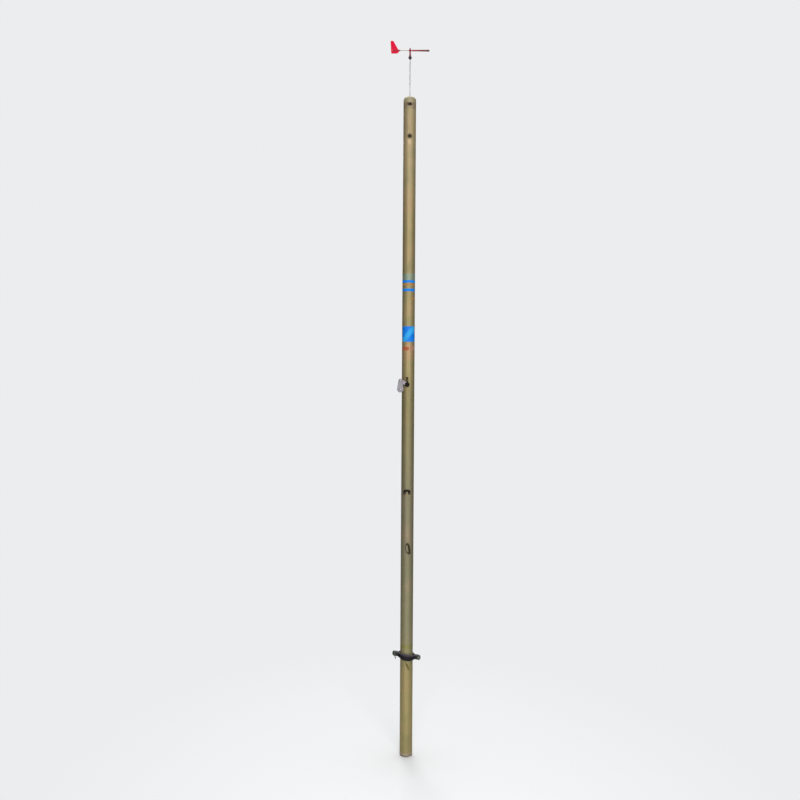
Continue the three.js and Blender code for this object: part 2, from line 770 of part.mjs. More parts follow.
// A pin through both cheeks with a low head outside each.
function headedPin(radius, headRadius, z) {
  const seat = cheekOuter + HOLE_CLEARANCE;
  const end = seat + PIN_HEAD_HEIGHT;
  const profile = [
    [0, lugCentre - end],
    [headRadius - 0.5, lugCentre - end],
    [headRadius, lugCentre - end + 0.5],
    [headRadius, lugCentre - seat],
    [radius, lugCentre - seat],
    [radius, lugCentre + seat],
    [headRadius, lugCentre + seat],
    [headRadius, lugCentre + end - 0.5],
    [headRadius - 0.5, lugCentre + end],
    [0, lugCentre + end],
  ];
  return revolveToFront(profile, SMALL_FACETS, pinX, z);
}

function pinWasher(side) {
  const bore = pinRadius + HOLE_CLEARANCE / 2;
  const near = LUG_THICKNESS / 2 + HOLE_CLEARANCE;
  const far = cheekInner - HOLE_CLEARANCE;
  const low = side > 0 ? lugCentre + near : lugCentre - far;
  const high = side > 0 ? lugCentre + far : lugCentre - near;
  return revolveToFront(ringProfile(bore, pinRadius + 2.4, low, high), SMALL_FACETS, pinX, pinZ);
}

function sheave() {
  const half = SHEAVE_WIDTH / 2;
  const rim = SHEAVE_DIAMETER / 2;
  const root = rim - SHEAVE_GROOVE;
  const bore = axleRadius + HOLE_CLEARANCE / 2;
  const groove = [];
  const steps = 6;
  for (let i = 0; i <= steps; i += 1) {
    const across = -1 + (2 * i) / steps;
    groove.push([root + SHEAVE_GROOVE * across ** 2, lugCentre + across * (half - 0.8)]);
  }
  const profile = [
    [bore, lugCentre - half],
    [rim - 0.4, lugCentre - half],
    [rim, lugCentre - half + 0.4],
    ...groove,
    [rim, lugCentre + half - 0.4],
    [rim - 0.4, lugCentre + half],
    [bore, lugCentre + half],
    [bore, lugCentre - half],
  ];
  return revolveToFront(profile, WHEEL_FACETS, pinX, axleZ);
}

add("block_cheek_front", cheek(-1), greyPlastic);
add("block_cheek_rear", cheek(1), greyPlastic);
add("block_head_pin", headedPin(pinRadius, pinRadius + 1.5, pinZ), stainless);
add("block_washer_front", pinWasher(1), stainless);
add("block_washer_rear", pinWasher(-1), stainless);
add("block_axle", headedPin(axleRadius, axleRadius + 1.3, axleZ), stainless);
add("block_sheave", sheave(), blackPlastic);

// ---------------------------------------------------------------- saddle fairlead
// Seen from the front it is a horseshoe, open below. Its crown stands clear of the tube, so that a line
// runs up the mast under it, and its two feet are riveted down.
const fairleadFace = tubeRadius + FAIRLEAD_STAND;
const footFace = tubeRadius + FAIRLEAD_FOOT;

function fairlead() {
  const halfWide = FAIRLEAD_WIDTH / 2;
  const halfTall = FAIRLEAD_TALL / 2;
  const gap = halfWide - FAIRLEAD_LEG;
  const shape = new THREE.Shape();
  shape.moveTo(-gap, -halfTall);
  shape.lineTo(-gap, -halfTall / 4);
  shape.absellipse(0, -halfTall / 4, gap, gap * 0.8, Math.PI, 0, true, 0);
  shape.lineTo(gap, -halfTall);
  shape.lineTo(halfWide - 2, -halfTall);
  shape.quadraticCurveTo(halfWide, -halfTall, halfWide, -halfTall + 2);
  shape.lineTo(halfWide, 0);
  shape.absellipse(0, 0, halfWide, halfTall, 0, Math.PI, false, 0);
  shape.lineTo(-halfWide, -halfTall + 2);
  shape.quadraticCurveTo(-halfWide, -halfTall, -halfWide + 2, -halfTall);
  const front = plateXZ(shape, -fairleadFace, 0, ARC_FACETS);
  // Side profile: low feet, then a crown that swells forward and rolls over at the top.
  const side = new THREE.Shape();
  side.moveTo(0, -halfTall - 1);
  side.lineTo(footFace, -halfTall - 1);
  side.lineTo(footFace, 0);
  side.quadraticCurveTo(footFace + 0.5, halfTall * 0.2, fairleadFace - 1.5, halfTall * 0.25);
  side.quadraticCurveTo(fairleadFace, halfTall * 0.3, fairleadFace, halfTall * 0.42);
  side.quadraticCurveTo(fairleadFace, halfTall * 0.85, fairleadFace - 2.2, halfTall * 0.97);
  side.quadraticCurveTo(fairleadFace - 3.5, halfTall + 0.5, tubeRadius, halfTall + 0.5);
  side.lineTo(0, halfTall + 0.5);
  const wide = new THREE.ExtrudeGeometry(side, {
    depth: FAIRLEAD_WIDTH + 2,
    bevelEnabled: false,
    curveSegments: ARC_FACETS,
  });
  // The side outline's first direction points to the viewer and its second up the mast.
  const turn = new THREE.Matrix4().makeBasis(
    new THREE.Vector3(0, -1, 0),
    new THREE.Vector3(0, 0, 1),
    new THREE.Vector3(-1, 0, 0),
  );
  wide.applyMatrix4(turn).translate(FAIRLEAD_WIDTH / 2 + 1, 0, 0);
  // Seen along the mast, the crown's corners are rounded down to the feet.
  const plan = new THREE.Shape();
  plan.moveTo(-halfWide, 0);
  plan.lineTo(halfWide, 0);
  plan.lineTo(halfWide, footFace - 1);
  plan.quadraticCurveTo(halfWide - 1, fairleadFace, halfWide - FAIRLEAD_ROUND, fairleadFace);
  plan.lineTo(-halfWide + FAIRLEAD_ROUND, fairleadFace);
  plan.quadraticCurveTo(-halfWide + 1, fairleadFace, -halfWide, footFace - 1);
  const tall = new THREE.ExtrudeGeometry(plan, {
    depth: FAIRLEAD_TALL + 2,
    bevelEnabled: false,
    curveSegments: ARC_FACETS,
  });
  tall.rotateX(Math.PI).translate(0, 0, halfTall + 1);
  const body = common(common(front, wide), tall).translate(FAIRLEAD_X, 0, FAIRLEAD_HEIGHT);
  // The way for the line is a round-topped channel, open to the tube behind it.
  const low = FAIRLEAD_HEIGHT - FAIRLEAD_TALL;
  const high = FAIRLEAD_HEIGHT + FAIRLEAD_TALL;
  const ropeRadius = FAIRLEAD_ROPE / 2;
  const ropeCentre = -tubeRadius - ropeRadius;
  const round = revolveZ(discProfile(ropeRadius, low, high), SMALL_FACETS).translate(FAIRLEAD_X, ropeCentre, 0);
  const straight = box(FAIRLEAD_X - ropeRadius, FAIRLEAD_X + ropeRadius, ropeCentre, 0, low, high);
  return cut(
    body,
    mastFace(FAIRLEAD_HEIGHT, FAIRLEAD_TALL),
    round,
    straight,
    fastenerHole(FAIRLEAD_X - fairleadRivetX, fairleadRivetZ, RIVET_DIAMETER),
    fastenerHole(FAIRLEAD_X + fairleadRivetX, fairleadRivetZ, RIVET_DIAMETER),
  );
}

add("fairlead_saddle", fairlead(), blackPlastic);
for (const [name, end] of [["left", -1], ["right", 1]]) {
  const rivet = fastener(
    FAIRLEAD_X + end * fairleadRivetX, fairleadRivetZ, footFace,
    RIVET_DIAMETER, RIVET_HEAD_DIAMETER, RIVET_HEAD_HEIGHT,
  );
  add("fairlead_rivet_" + name, rivet, stainless);
}

// ---------------------------------------------------------------- jamming cleat
// Two walls with slanted teeth stand over a narrowing groove: a line pulled down into it jams.
const cleatFace = tubeRadius + CLEAT_STAND;
const cleatLugFace = tubeRadius + CLEAT_BASE;

function placeCleat(geometry) {
  return geometry.rotateY(cleatSlant).translate(CLEAT_X, 0, CLEAT_HEIGHT);
}

function cleatBody() {
  const half = CLEAT_LENGTH / 2;
  const jaw = half - CLEAT_LUG;
  const plan = linkOutline(
    [0, -half + CLEAT_WIDTH / 2], CLEAT_WIDTH / 2,
    [0, half - CLEAT_WIDTH / 2], CLEAT_WIDTH / 2 - 0.01,
  );
  const base = plateXZ(plan, -cleatLugFace, 0);
  // Cross-section of the jaws, across the mast, extruded along the cleat.
  const wide = CLEAT_WIDTH / 2;
  const section = polygon([
    [-wide, 0],
    [wide, 0],
    [wide, cleatLugFace + 1],
    [wide - 1.2, cleatFace - 1.5],
    [wide - 2, cleatFace],
    [CLEAT_MOUTH / 2, cleatFace],
    [CLEAT_ROOT / 2, cleatLugFace],
    [-CLEAT_ROOT / 2, cleatLugFace],
    [-CLEAT_MOUTH / 2, cleatFace],
    [-wide + 2, cleatFace],
    [-wide + 1.2, cleatFace - 1.5],
    [-wide, cleatLugFace + 1],
  ]);
  const jaws = new THREE.ExtrudeGeometry(section, { depth: 2 * jaw, bevelEnabled: false });
  const stand = new THREE.Matrix4().makeBasis(
    new THREE.Vector3(1, 0, 0),
    new THREE.Vector3(0, -1, 0),
    new THREE.Vector3(0, 0, -1),
  );
  jaws.applyMatrix4(stand).translate(0, 0, jaw);
  const gaps = [];
  const pitch = (2 * jaw - 3) / CLEAT_TEETH;
  const depth = cleatFace - cleatLugFace;
  for (let i = 0; i < CLEAT_TEETH; i += 1) {
    const z = -jaw + 2.5 + pitch * (i + 0.5);
    for (const side of [-1, 1]) {
      const gap = box(-1.1, 1.1, -depth, depth, -CLEAT_TOOTH_GAP / 2, CLEAT_TOOTH_GAP / 2);
      const wallLean = Math.atan2((CLEAT_MOUTH - CLEAT_ROOT) / 2, depth);
      gap.rotateX(THREE.MathUtils.degToRad(CLEAT_TOOTH_SLANT));
      gap.rotateZ(side * wallLean);
      const middle = (CLEAT_MOUTH + CLEAT_ROOT) / 4;
      gap.translate(side * middle, -(cleatFace + cleatLugFace) / 2, z);
      gaps.push(gap);
    }
  }
  const floor = box(-wide, wide, -cleatLugFace, 0, -half, half);
  const toothed = join(cut(jaws, ...gaps), common(floor, base), base);
  const bore = mastFace(CLEAT_HEIGHT, CLEAT_LENGTH);
  const holes = [1, -1].map((end) => fastenerHole(...cleatScrewPlace(end), SCREW_DIAMETER));
  return cut(placeCleat(toothed), bore, ...holes);
}

add("cleat_body", cleatBody(), castAlloy);
for (const [name, end] of [["upper", 1], ["lower", -1]]) {
  const [x, z] = cleatScrewPlace(end);
  const screw = fastener(x, z, cleatLugFace, SCREW_DIAMETER, SCREW_HEAD_DIAMETER, SCREW_HEAD_HEIGHT);
  add("cleat_screw_" + name, screw, stainless);
}

// ---------------------------------------------------------------- thwart clamp
// Two half shells over a split rubber liner, bolted through their ears. The screw on the left is
// loosened, so the clamp hangs askew and touches the tube at two opposite edges of the liner.
const clampTilt = THREE.MathUtils.degToRad(CLAMP_TILT);
const askewRadius = (tubeRadius + SEAT_GAP) / Math.cos(clampTilt);
const linerInner = askewRadius + (LINER_HEIGHT / 2) * Math.tan(clampTilt);
const linerOuter = linerInner + LINER_WALL;
const shellInner = linerOuter + CLAMP_RUN;
const shellOuter = shellInner + CLAMP_WALL;
const earHalf = CLAMP_EAR_HEIGHT / 2;
const boltRadius = BOLT_DIAMETER / 2;

const clamp = new THREE.Group();
clamp.position.z = CLAMP_HEIGHT;
clamp.rotation.y = clampTilt;
mast.add(clamp);

function liner() {
  const ring = revolveZ(ringProfile(linerInner, linerOuter, -LINER_HEIGHT / 2, LINER_HEIGHT / 2), RING_FACETS);
  const split = box(-shellOuter, 0, -LINER_SPLIT / 2, LINER_SPLIT / 2, -LINER_HEIGHT, LINER_HEIGHT);
  return cut(ring, split);
}

// Height of the shells falls smoothly from the front and back to the ears.
function shellOutline() {
  const shape = new THREE.Shape();
  const steps = 16;
  for (let side = 1; side >= -1; side -= 2) {
    for (let i = 0; i <= steps; i += 1) {
      const x = side * (-shellOuter + (2 * shellOuter * i) / steps);
      const swell = Math.cos((Math.PI / 2) * (x / shellOuter)) ** 1.5;
      const height = earHalf + (CLAMP_FRONT_HEIGHT / 2 - earHalf) * swell;
      if (side === 1 && i === 0) shape.moveTo(x, side * height);
      else shape.lineTo(x, side * height);
    }
  }
  return shape;
}

function ears() {
  const outline = linkOutline([-CLAMP_EAR_REACH, 0], earHalf, [CLAMP_EAR_REACH, 0], earHalf - 0.01);
  return plateXZ(outline, -CLAMP_EAR_DEPTH / 2, CLAMP_EAR_DEPTH / 2, ARC_FACETS, 1);
}

function boltHole(side) {
  return revolveToFront(
    discProfile(boltRadius + HOLE_CLEARANCE, -CLAMP_EAR_DEPTH, CLAMP_EAR_DEPTH),
    SMALL_FACETS,
    side * CLAMP_EAR_REACH,
    0,
  );
}

function shellHalf(side) {
  const tall = CLAMP_FRONT_HEIGHT;
  const wide = CLAMP_EAR_REACH + 2 * earHalf;
  const band = common(
    revolveZ(discProfile(shellOuter, -tall, tall), RING_FACETS),
    plateXZ(shellOutline(), -shellOuter - 1, shellOuter + 1),
  );
  const bore = revolveZ(discProfile(shellInner, -tall, tall), RING_FACETS);
  const other = side > 0
    ? box(-wide, wide, -wide, CLAMP_PARTING / 2, -tall, tall)
    : box(-wide, wide, -CLAMP_PARTING / 2, wide, -tall, tall);
  return cut(join(band, ears()), bore, other, boltHole(-1), boltHole(1));
}

const earFace = CLAMP_EAR_DEPTH / 2;
const washerFace = earFace + HOLE_CLEARANCE + WASHER_THICKNESS;

// A hexagon bolt whose head sits behind the rear ear; its heights run towards the viewer.
function clampBolt(x, nutLength) {
  const seat = -earFace - HOLE_CLEARANCE;
  const end = washerFace + nutLength + BOLT_END;
  const shank = revolveToFront(
    [
      [0, seat - BOLT_HEAD_HEIGHT / 2],
      [boltRadius, seat - BOLT_HEAD_HEIGHT / 2],
      [boltRadius, end - 1],
      [boltRadius - 1, end],
      [0, end],
    ],
    SMALL_FACETS,
    x,
    0,
  );
  return join(shank, hexagon(x, seat - BOLT_HEAD_HEIGHT, seat));
}

function hexagon(x, low, high) {
  const corner = BOLT_HEAD_WIDTH / 2 / Math.cos(Math.PI / 6);
  return revolveToFront(discProfile(corner, low, high), 6, x, 0);
}

function washer(x) {
  const low = earFace + HOLE_CLEARANCE;
  const bore = boltRadius + HOLE_CLEARANCE / 2;
  return revolveToFront(
    ringProfile(bore, WASHER_DIAMETER / 2, low, low + WASHER_THICKNESS),
    SMALL_FACETS,
    x,
    0,
  );
}

function plainNut(x) {
  const low = washerFace + HOLE_CLEARANCE;
  const bore = revolveToFront(discProfile(boltRadius + HOLE_CLEARANCE / 2, 0, 3 * low), SMALL_FACETS, x, 0);
  return cut(hexagon(x, low, low + NUT_THICKNESS), bore);
}

// Two thumb wings stand out of a tapered hub and sweep away from the clamp.
function wingNut(x) {
  const low = washerFace + HOLE_CLEARANCE;
  const high = low + WING_NUT_LENGTH;
  const hub = revolveToFront(
    [
      [0, low],
      [WING_NUT_HUB / 2, low],
      [WING_NUT_HUB / 2 - 0.8, high - 1],
      [WING_NUT_HUB / 2 - 1.6, high],
      [0, high],
    ],
    SMALL_FACETS,
    0,
    0,
  );
  const shape = new THREE.Shape();
  shape.moveTo(0, low + 1);
  shape.lineTo(WING_NUT_HUB / 2, low + 1);
  shape.quadraticCurveTo(WING_SPAN / 2 - 2, low + 2.5, WING_SPAN / 2, high + 1);
  shape.quadraticCurveTo(WING_SPAN / 2 + 0.5, high + 5, WING_SPAN / 2 - 3, high + 5);
  shape.quadraticCurveTo(WING_NUT_HUB / 2 + 1.5, high + 4, WING_NUT_HUB / 2 - 1.2, high - 1.5);
  shape.lineTo(0, high - 1.5);
  const wing = new THREE.ExtrudeGeometry(shape, {
    depth: WING_THICKNESS - 1,
    bevelEnabled: true,
    bevelThickness: 0.5,
    bevelSize: 0.5,
    bevelOffset: -0.5,
    bevelSegments: 1,
    curveSegments: ARC_FACETS / 2,
  });
  wing.translate(0, 0, -WING_THICKNESS / 2 + 0.5).rotateX(Math.PI);
  const opposite = wing.clone().rotateY(Math.PI);
  const bore = revolveToFront(discProfile(boltRadius + HOLE_CLEARANCE / 2, 0, 3 * high), SMALL_FACETS, 0, 0);
  const nut = cut(join(hub, wing, opposite), bore);
  return nut.rotateY(THREE.MathUtils.degToRad(-WING_LEAN)).translate(x, 0, 0);
}

addTo(clamp, "clamp_liner", liner(), rubber);
addTo(clamp, "clamp_shell_front", shellHalf(-1), blackPlastic);
addTo(clamp, "clamp_shell_rear", shellHalf(1), blackPlastic);
addTo(clamp, "clamp_wing_bolt", clampBolt(-CLAMP_EAR_REACH, WING_NUT_LENGTH), stainless);
addTo(clamp, "clamp_plain_bolt", clampBolt(CLAMP_EAR_REACH, NUT_THICKNESS), stainless);
addTo(clamp, "clamp_wing_washer", washer(-CLAMP_EAR_REACH), stainless);
addTo(clamp, "clamp_plain_washer", washer(CLAMP_EAR_REACH), stainless);
addTo(clamp, "clamp_plain_nut", plainNut(CLAMP_EAR_REACH), stainless);
addTo(clamp, "clamp_wing_nut", wingNut(-CLAMP_EAR_REACH), blackPlastic);

export default mast;
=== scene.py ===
# The mast of a small single-handed sailing dinghy, stood on its heel, with its fittings and a wind vane.
# The origin is the centre of the heel, Z runs up the mast and the fittings face -Y.
import math

import bpy
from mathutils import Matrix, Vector


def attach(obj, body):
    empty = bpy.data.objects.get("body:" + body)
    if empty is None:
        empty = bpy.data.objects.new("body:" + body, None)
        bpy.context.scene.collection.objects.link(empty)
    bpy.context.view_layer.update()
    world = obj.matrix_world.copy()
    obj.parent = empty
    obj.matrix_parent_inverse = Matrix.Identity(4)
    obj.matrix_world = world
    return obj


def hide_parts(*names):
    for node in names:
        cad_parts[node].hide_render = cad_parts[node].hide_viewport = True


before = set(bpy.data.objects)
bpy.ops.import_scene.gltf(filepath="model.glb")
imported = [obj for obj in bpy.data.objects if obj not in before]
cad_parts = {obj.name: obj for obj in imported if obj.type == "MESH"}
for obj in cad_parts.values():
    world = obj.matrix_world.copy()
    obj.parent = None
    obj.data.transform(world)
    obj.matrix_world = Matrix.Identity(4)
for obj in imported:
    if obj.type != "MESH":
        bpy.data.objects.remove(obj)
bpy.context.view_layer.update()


# ------------------------------------------------------------------ camera
# The mast is seen square on, from 3 m away and from half its height. The view is rolled by a third of
# a degree, so that the top of the mast leans to the right.
camera = bpy.data.objects.new("camera", bpy.data.cameras.new("camera"))
camera.data.sensor_width = 36
camera.data.lens = 37.76
camera.location = (-0.0286, -3.0, 1.267)
camera.rotation_euler = (math.radians(90), math.radians(-0.35), 0)
bpy.context.collection.objects.link(camera)
bpy.context.scene.camera = camera
bpy.context.scene.view_settings.view_transform = "Standard"


# ------------------------------------------------------------------ floor, background and light
# A pale studio floor that runs out into a pale background. A tall soft box stands in front, a weaker one
# hangs behind and a wide soft light overhead. A dark screen on each side gives the metal something dark
# to reflect.
def tone(red, green, blue):
    # A colour as read off a screen, from 0 to 255, made linear.
    parts = [part / 255 for part in (red, green, blue)]
    return tuple(p / 12.92 if p <= 0.04045 else ((p + 0.055) / 1.055) ** 2.4 for p in parts) + (1,)


def add_node(tree, kind, values=None, **settings):
    # A node with its settings made and its sockets set, or joined where the value is a socket.
    made = tree.nodes.new(kind)
    for key, value in settings.items():
        setattr(made, key, value)
    for key, value in (values or {}).items():
        if isinstance(value, bpy.types.NodeSocket):
            tree.links.new(value, made.inputs[key])
        else:
            made.inputs[key].default_value = value
    return made


def seen_rays(tree):
    # One for what the camera sees, straight or in metal or glass, and nought for the light on the object.
    ray = add_node(tree, "ShaderNodeLightPath").outputs
    seen = add_node(tree, "ShaderNodeMath", {0: ray["Is Camera Ray"], 1: ray["Is Glossy Ray"]},
                    operation="MAXIMUM")
    return add_node(tree, "ShaderNodeMath", {0: seen.outputs[0], 1: ray["Is Transmission Ray"]},
                    operation="MAXIMUM").outputs[0]


pale = tone(236, 237, 238)
room_light = 0.18

studio = bpy.data.worlds.new("studio")
bpy.context.scene.world = studio
studio.use_nodes = True
tree = studio.node_tree
tree.nodes.clear()
room = add_node(tree, "ShaderNodeBackground", {"Color": (1, 1, 1, 1), "Strength": room_light})
shown = add_node(tree, "ShaderNodeBackground", {"Color": pale, "Strength": 1})
both = add_node(tree, "ShaderNodeMixShader", {0: seen_rays(tree), 1: room.outputs[0], 2: shown.outputs[0]})
add_node(tree, "ShaderNodeOutputWorld", {"Surface": both.outputs[0]})

bpy.ops.mesh.primitive_circle_add(vertices=128, radius=60, fill_type="TRIFAN", location=(0, 0, -0.0004))
floor = bpy.context.object
floor.name = "studio_floor"
floor_paint = bpy.data.materials.new("floor_paint")
floor_paint.use_nodes = True
tree = floor_paint.node_tree
tree.nodes.clear()
place = add_node(tree, "ShaderNodeTexCoord")
away = add_node(tree, "ShaderNodeVectorMath", {0: place.outputs["Object"]}, operation="LENGTH")
far = add_node(tree, "ShaderNodeMapRange", {"Value": away.outputs["Value"], "From Min": 0.2, "From Max": 1.5},
               interpolation_type="SMOOTHSTEP")
matt = add_node(tree, "ShaderNodeBsdfDiffuse", {"Color": tone(224, 225, 226)})
haze = add_node(tree, "ShaderNodeEmission", {"Color": pale, "Strength": 1})
both = add_node(tree, "ShaderNodeMixShader", {0: far.outputs[0], 1: matt.outputs[0], 2: haze.outputs[0]})
dull = add_node(tree, "ShaderNodeBsdfDiffuse", {"Color": tone(80, 80, 80)})
both = add_node(tree, "ShaderNodeMixShader", {0: seen_rays(tree), 1: dull.outputs[0], 2: both.outputs[0]})
add_node(tree, "ShaderNodeOutputMaterial", {"Surface": both.outputs[0]})
floor.data.materials.append(floor_paint)


def soft_box(name, at, aim, wide, tall, watts):
    # A flat lamp, in metres, turned to face a point.
    lamp = bpy.data.lights.new(name, "AREA")
    lamp.shape = "RECTANGLE"
    lamp.size = wide
    lamp.size_y = tall
    lamp.energy = watts
    holder = bpy.data.objects.new(name, lamp)
    holder.location = at
    holder.rotation_euler = (Vector(aim) - Vector(at)).to_track_quat("-Z", "Y").to_euler()
    bpy.context.collection.objects.link(holder)


soft_box("key_light", (0.3, -3.3, 1.6), (0, 0, 1.25), 1.9, 3.0, 92)
soft_box("back_light", (-0.5, 3.0, 3.3), (0, 0, 1.25), 1.2, 1.4, 42)

overhead = bpy.data.objects.new("overhead_light", bpy.data.lights.new("overhead_light", "SUN"))
overhead.data.energy = 2.1
overhead.data.angle = math.radians(40)
overhead.rotation_euler = (math.radians(-6), 0, 0)
bpy.context.collection.objects.link(overhead)

screen_paint = bpy.data.materials.new("screen_paint")
screen_paint.use_nodes = True
tree = screen_paint.node_tree
tree.nodes.clear()
dark = add_node(tree, "ShaderNodeBsdfDiffuse", {"Color": tone(24, 24, 22)})
add_node(tree, "ShaderNodeOutputMaterial", {"Surface": dark.outputs[0]})
for side in (-1, 1):
    bpy.ops.mesh.primitive_plane_add(size=1, location=(side * 1.4, 0.3, 1.6), rotation=(0, math.pi / 2, 0))
    screen = bpy.context.object
    screen.name = "side_screen"
    screen.scale = (3.6, 3.9, 1)
    screen.visible_camera = False
    screen.visible_diffuse = False
    screen.visible_shadow = False
    screen.visible_transmission = False
    screen.data.materials.append(screen_paint)


# ------------------------------------------------------------------ mast tube
# A drawn aluminium tube, 45 mm across with a 1.8 mm wall, anodised gold, with painted light and shade in its
# gold.
# It is drilled right through for the sail ties and once for each rivet, stud and screw.
mm = 0.001
tube_outer = 22.5
tube_bore = 20.7
tube_foot = 12
tube_head = 2328
tube_sides = 128
upper_tie = 2318
lower_tie = 2204
halyard = (-4, 1322)
pad_rivet = (-4, 1345)
fairlead_rivets = [(-10.5, 936.75), (6.5, 936.75)]
cleat_screws = [(-0.51, 755.95), (5.11, 724.05)]
tie_hole, bush_hole, stud_hole, rivet_hole, screw_hole = 4.8, 6.3, 2.7, 2.1, 2.2  # radii
FRONT = (90, 0, 0)  # turns heights towards the viewer
RIGHT = (0, 90, 0)  # turns heights to the right


def only(piece):
    # Makes a piece the one that the next operator works on.
    bpy.ops.object.select_all(action="DESELECT")
    piece.select_set(True)
    bpy.context.view_layer.objects.active = piece


def draw(name, points):
    # Extrudes one point through all the given ones, in millimetres, and leaves the line selected.
    bpy.ops.mesh.primitive_plane_add(size=mm)
    piece = bpy.context.object
    piece.name = name
    piece.data.name = name
    bpy.ops.object.mode_set(mode="EDIT")
    bpy.ops.mesh.merge(type="CENTER")
    bpy.ops.transform.translate(value=Vector(points[0]) * mm)
    for here, there in zip(points, points[1:]):
        step = (Vector(there) - Vector(here)) * mm
        bpy.ops.mesh.extrude_vertices_move(TRANSFORM_OT_translate={"value": step})
    bpy.ops.mesh.select_all(action="SELECT")
    bpy.ops.mesh.remove_doubles(threshold=1e-6)
    return piece


def put(piece, turn=(0, 0, 0), at=(0, 0, 0)):
    # Turns a piece, in degrees, and moves it, with its origin left at the heel of the mast.
    only(piece)
    piece.rotation_euler = [math.radians(angle) for angle in turn]
    piece.location = Vector(at) * mm
    bpy.ops.object.transform_apply(location=True, rotation=True, scale=True)


def turned(name, profile, sides, turn=(0, 0, 0), at=(0, 0, 0)):
    # A profile of (radius, height) pairs spun a full turn, as on a lathe.
    piece = draw(name, [(radius, 0, height) for radius, height in profile])
    bpy.ops.mesh.spin(steps=sides, angle=2 * math.pi, center=(0, 0, 0), axis=(0, 0, 1))
    bpy.ops.mesh.select_all(action="SELECT")
    bpy.ops.mesh.remove_doubles(threshold=1e-6)
    bpy.ops.mesh.delete_loose(use_verts=True, use_edges=True, use_faces=False)
    bpy.ops.mesh.select_all(action="SELECT")
    bpy.ops.mesh.normals_make_consistent(inside=False)
    bpy.ops.object.mode_set(mode="OBJECT")
    put(piece, turn, at)
    return piece


def rod(radius, low, high):
    return [(0, low), (radius, low), (radius, high), (0, high)]


def ring(inner, outer, low, high):
    return [(inner, low), (outer, low), (outer, high), (inner, high), (inner, low)]


def apply(piece, kind, **settings):
    # Adds a modifier and applies it.
    only(piece)
    step = piece.modifiers.new("step", kind)
    for key, value in settings.items():
        setattr(step, key, value)
    bpy.ops.object.modifier_apply(modifier=step.name)


def carve(piece, tool, operation="DIFFERENCE"):
    # Cuts a tool out of a piece, or keeps or adds it, and throws the tool away.
    apply(piece, "BOOLEAN", operation=operation, solver="EXACT", object=tool)
    bpy.data.objects.remove(tool)


def round_edges(piece, radius, steps, angle):
    # Bevels the edges sharper than the angle.
    apply(piece, "BEVEL", width=radius * mm, segments=steps, limit_method="ANGLE",
          angle_limit=math.radians(angle), use_clamp_overlap=True)


def shade(piece, angle):
    only(piece)
    bpy.ops.object.shade_smooth_by_angle(angle=math.radians(angle))


def coat(piece, finish, angle):
    # Gives a piece its finish, shaded smooth over all edges flatter than the angle.
    shade(piece, angle)
    piece.data.materials.append(finish)


def hole(radius, place, low=0):
    # A drill pointed at the front of the mast at (x, z), reaching from low to well clear of the front.
    return turned("drill", rod(radius, low, 60), 48, FRONT, (place[0], 0, place[1]))


def new_finish(name):
    # A material, its node tree, its shader, and the place on the mast in metres.
    finish = bpy.data.materials.new(name)
    finish.use_nodes = True
    tree = finish.node_tree
    place = add_node(tree, "ShaderNodeTexCoord")
    return finish, tree, tree.nodes["Principled BSDF"], place.outputs["Object"]


def axis(tree, place, letter):
    return add_node(tree, "ShaderNodeSeparateXYZ", {"Vector": place}).outputs[letter]


def stretch(tree, place, scale, turn=(0, 0, 0)):
    made = add_node(tree, "ShaderNodeMapping", {"Vector": place, "Scale": scale, "Rotation": turn})
    return made.outputs["Vector"]


def noise(tree, place, scale, detail, rough=0.55):
    made = add_node(tree, "ShaderNodeTexNoise",
                    {"Vector": place, "Scale": scale, "Detail": detail, "Roughness": rough})
    return made.outputs["Fac"]


def spread(tree, value, low, high, to_low, to_high, smooth=False):
    # What lies between low and high, spread over two other values, and held at them outside.
    made = add_node(tree, "ShaderNodeMapRange", {"Value": value, "From Min": low, "From Max": high,
                                                 "To Min": to_low, "To Max": to_high})
    made.interpolation_type = "SMOOTHSTEP" if smooth else "LINEAR"
    return made.outputs["Result"]


def times(tree, first, second):
    return add_node(tree, "ShaderNodeMath", {0: first, 1: second}, operation="MULTIPLY").outputs[0]


def plus(tree, first, second):
    return add_node(tree, "ShaderNodeMath", {0: first, 1: second}, operation="ADD").outputs[0]


def blend(tree, amount, first, second):
    # Two colours mixed: nought gives the first and one the second.
    return add_node(tree, "ShaderNodeMix", {0: amount, 6: first, 7: second}, data_type="RGBA").outputs[2]


def surface(tree, shader, colour, rough, height, depth, strength, metal=0.0, gloss=0.5):
    # Joins a colour, a roughness and a relief, its depth in millimetres, to the shader.
    relief = add_node(tree, "ShaderNodeBump",
                      {"Height": height, "Distance": depth * mm, "Strength": strength}).outputs["Normal"]
    for key, value in (("Base Color", colour), ("Roughness", rough), ("Normal", relief)):
        tree.links.new(value, shader.inputs[key])
    shader.inputs["Metallic"].default_value = metal
    shader.inputs["Specular IOR Level"].default_value = gloss


anodised, tree, shader, place = new_finish("anodised_gold")
across, up = axis(tree, place, "X"), axis(tree, place, "Z")
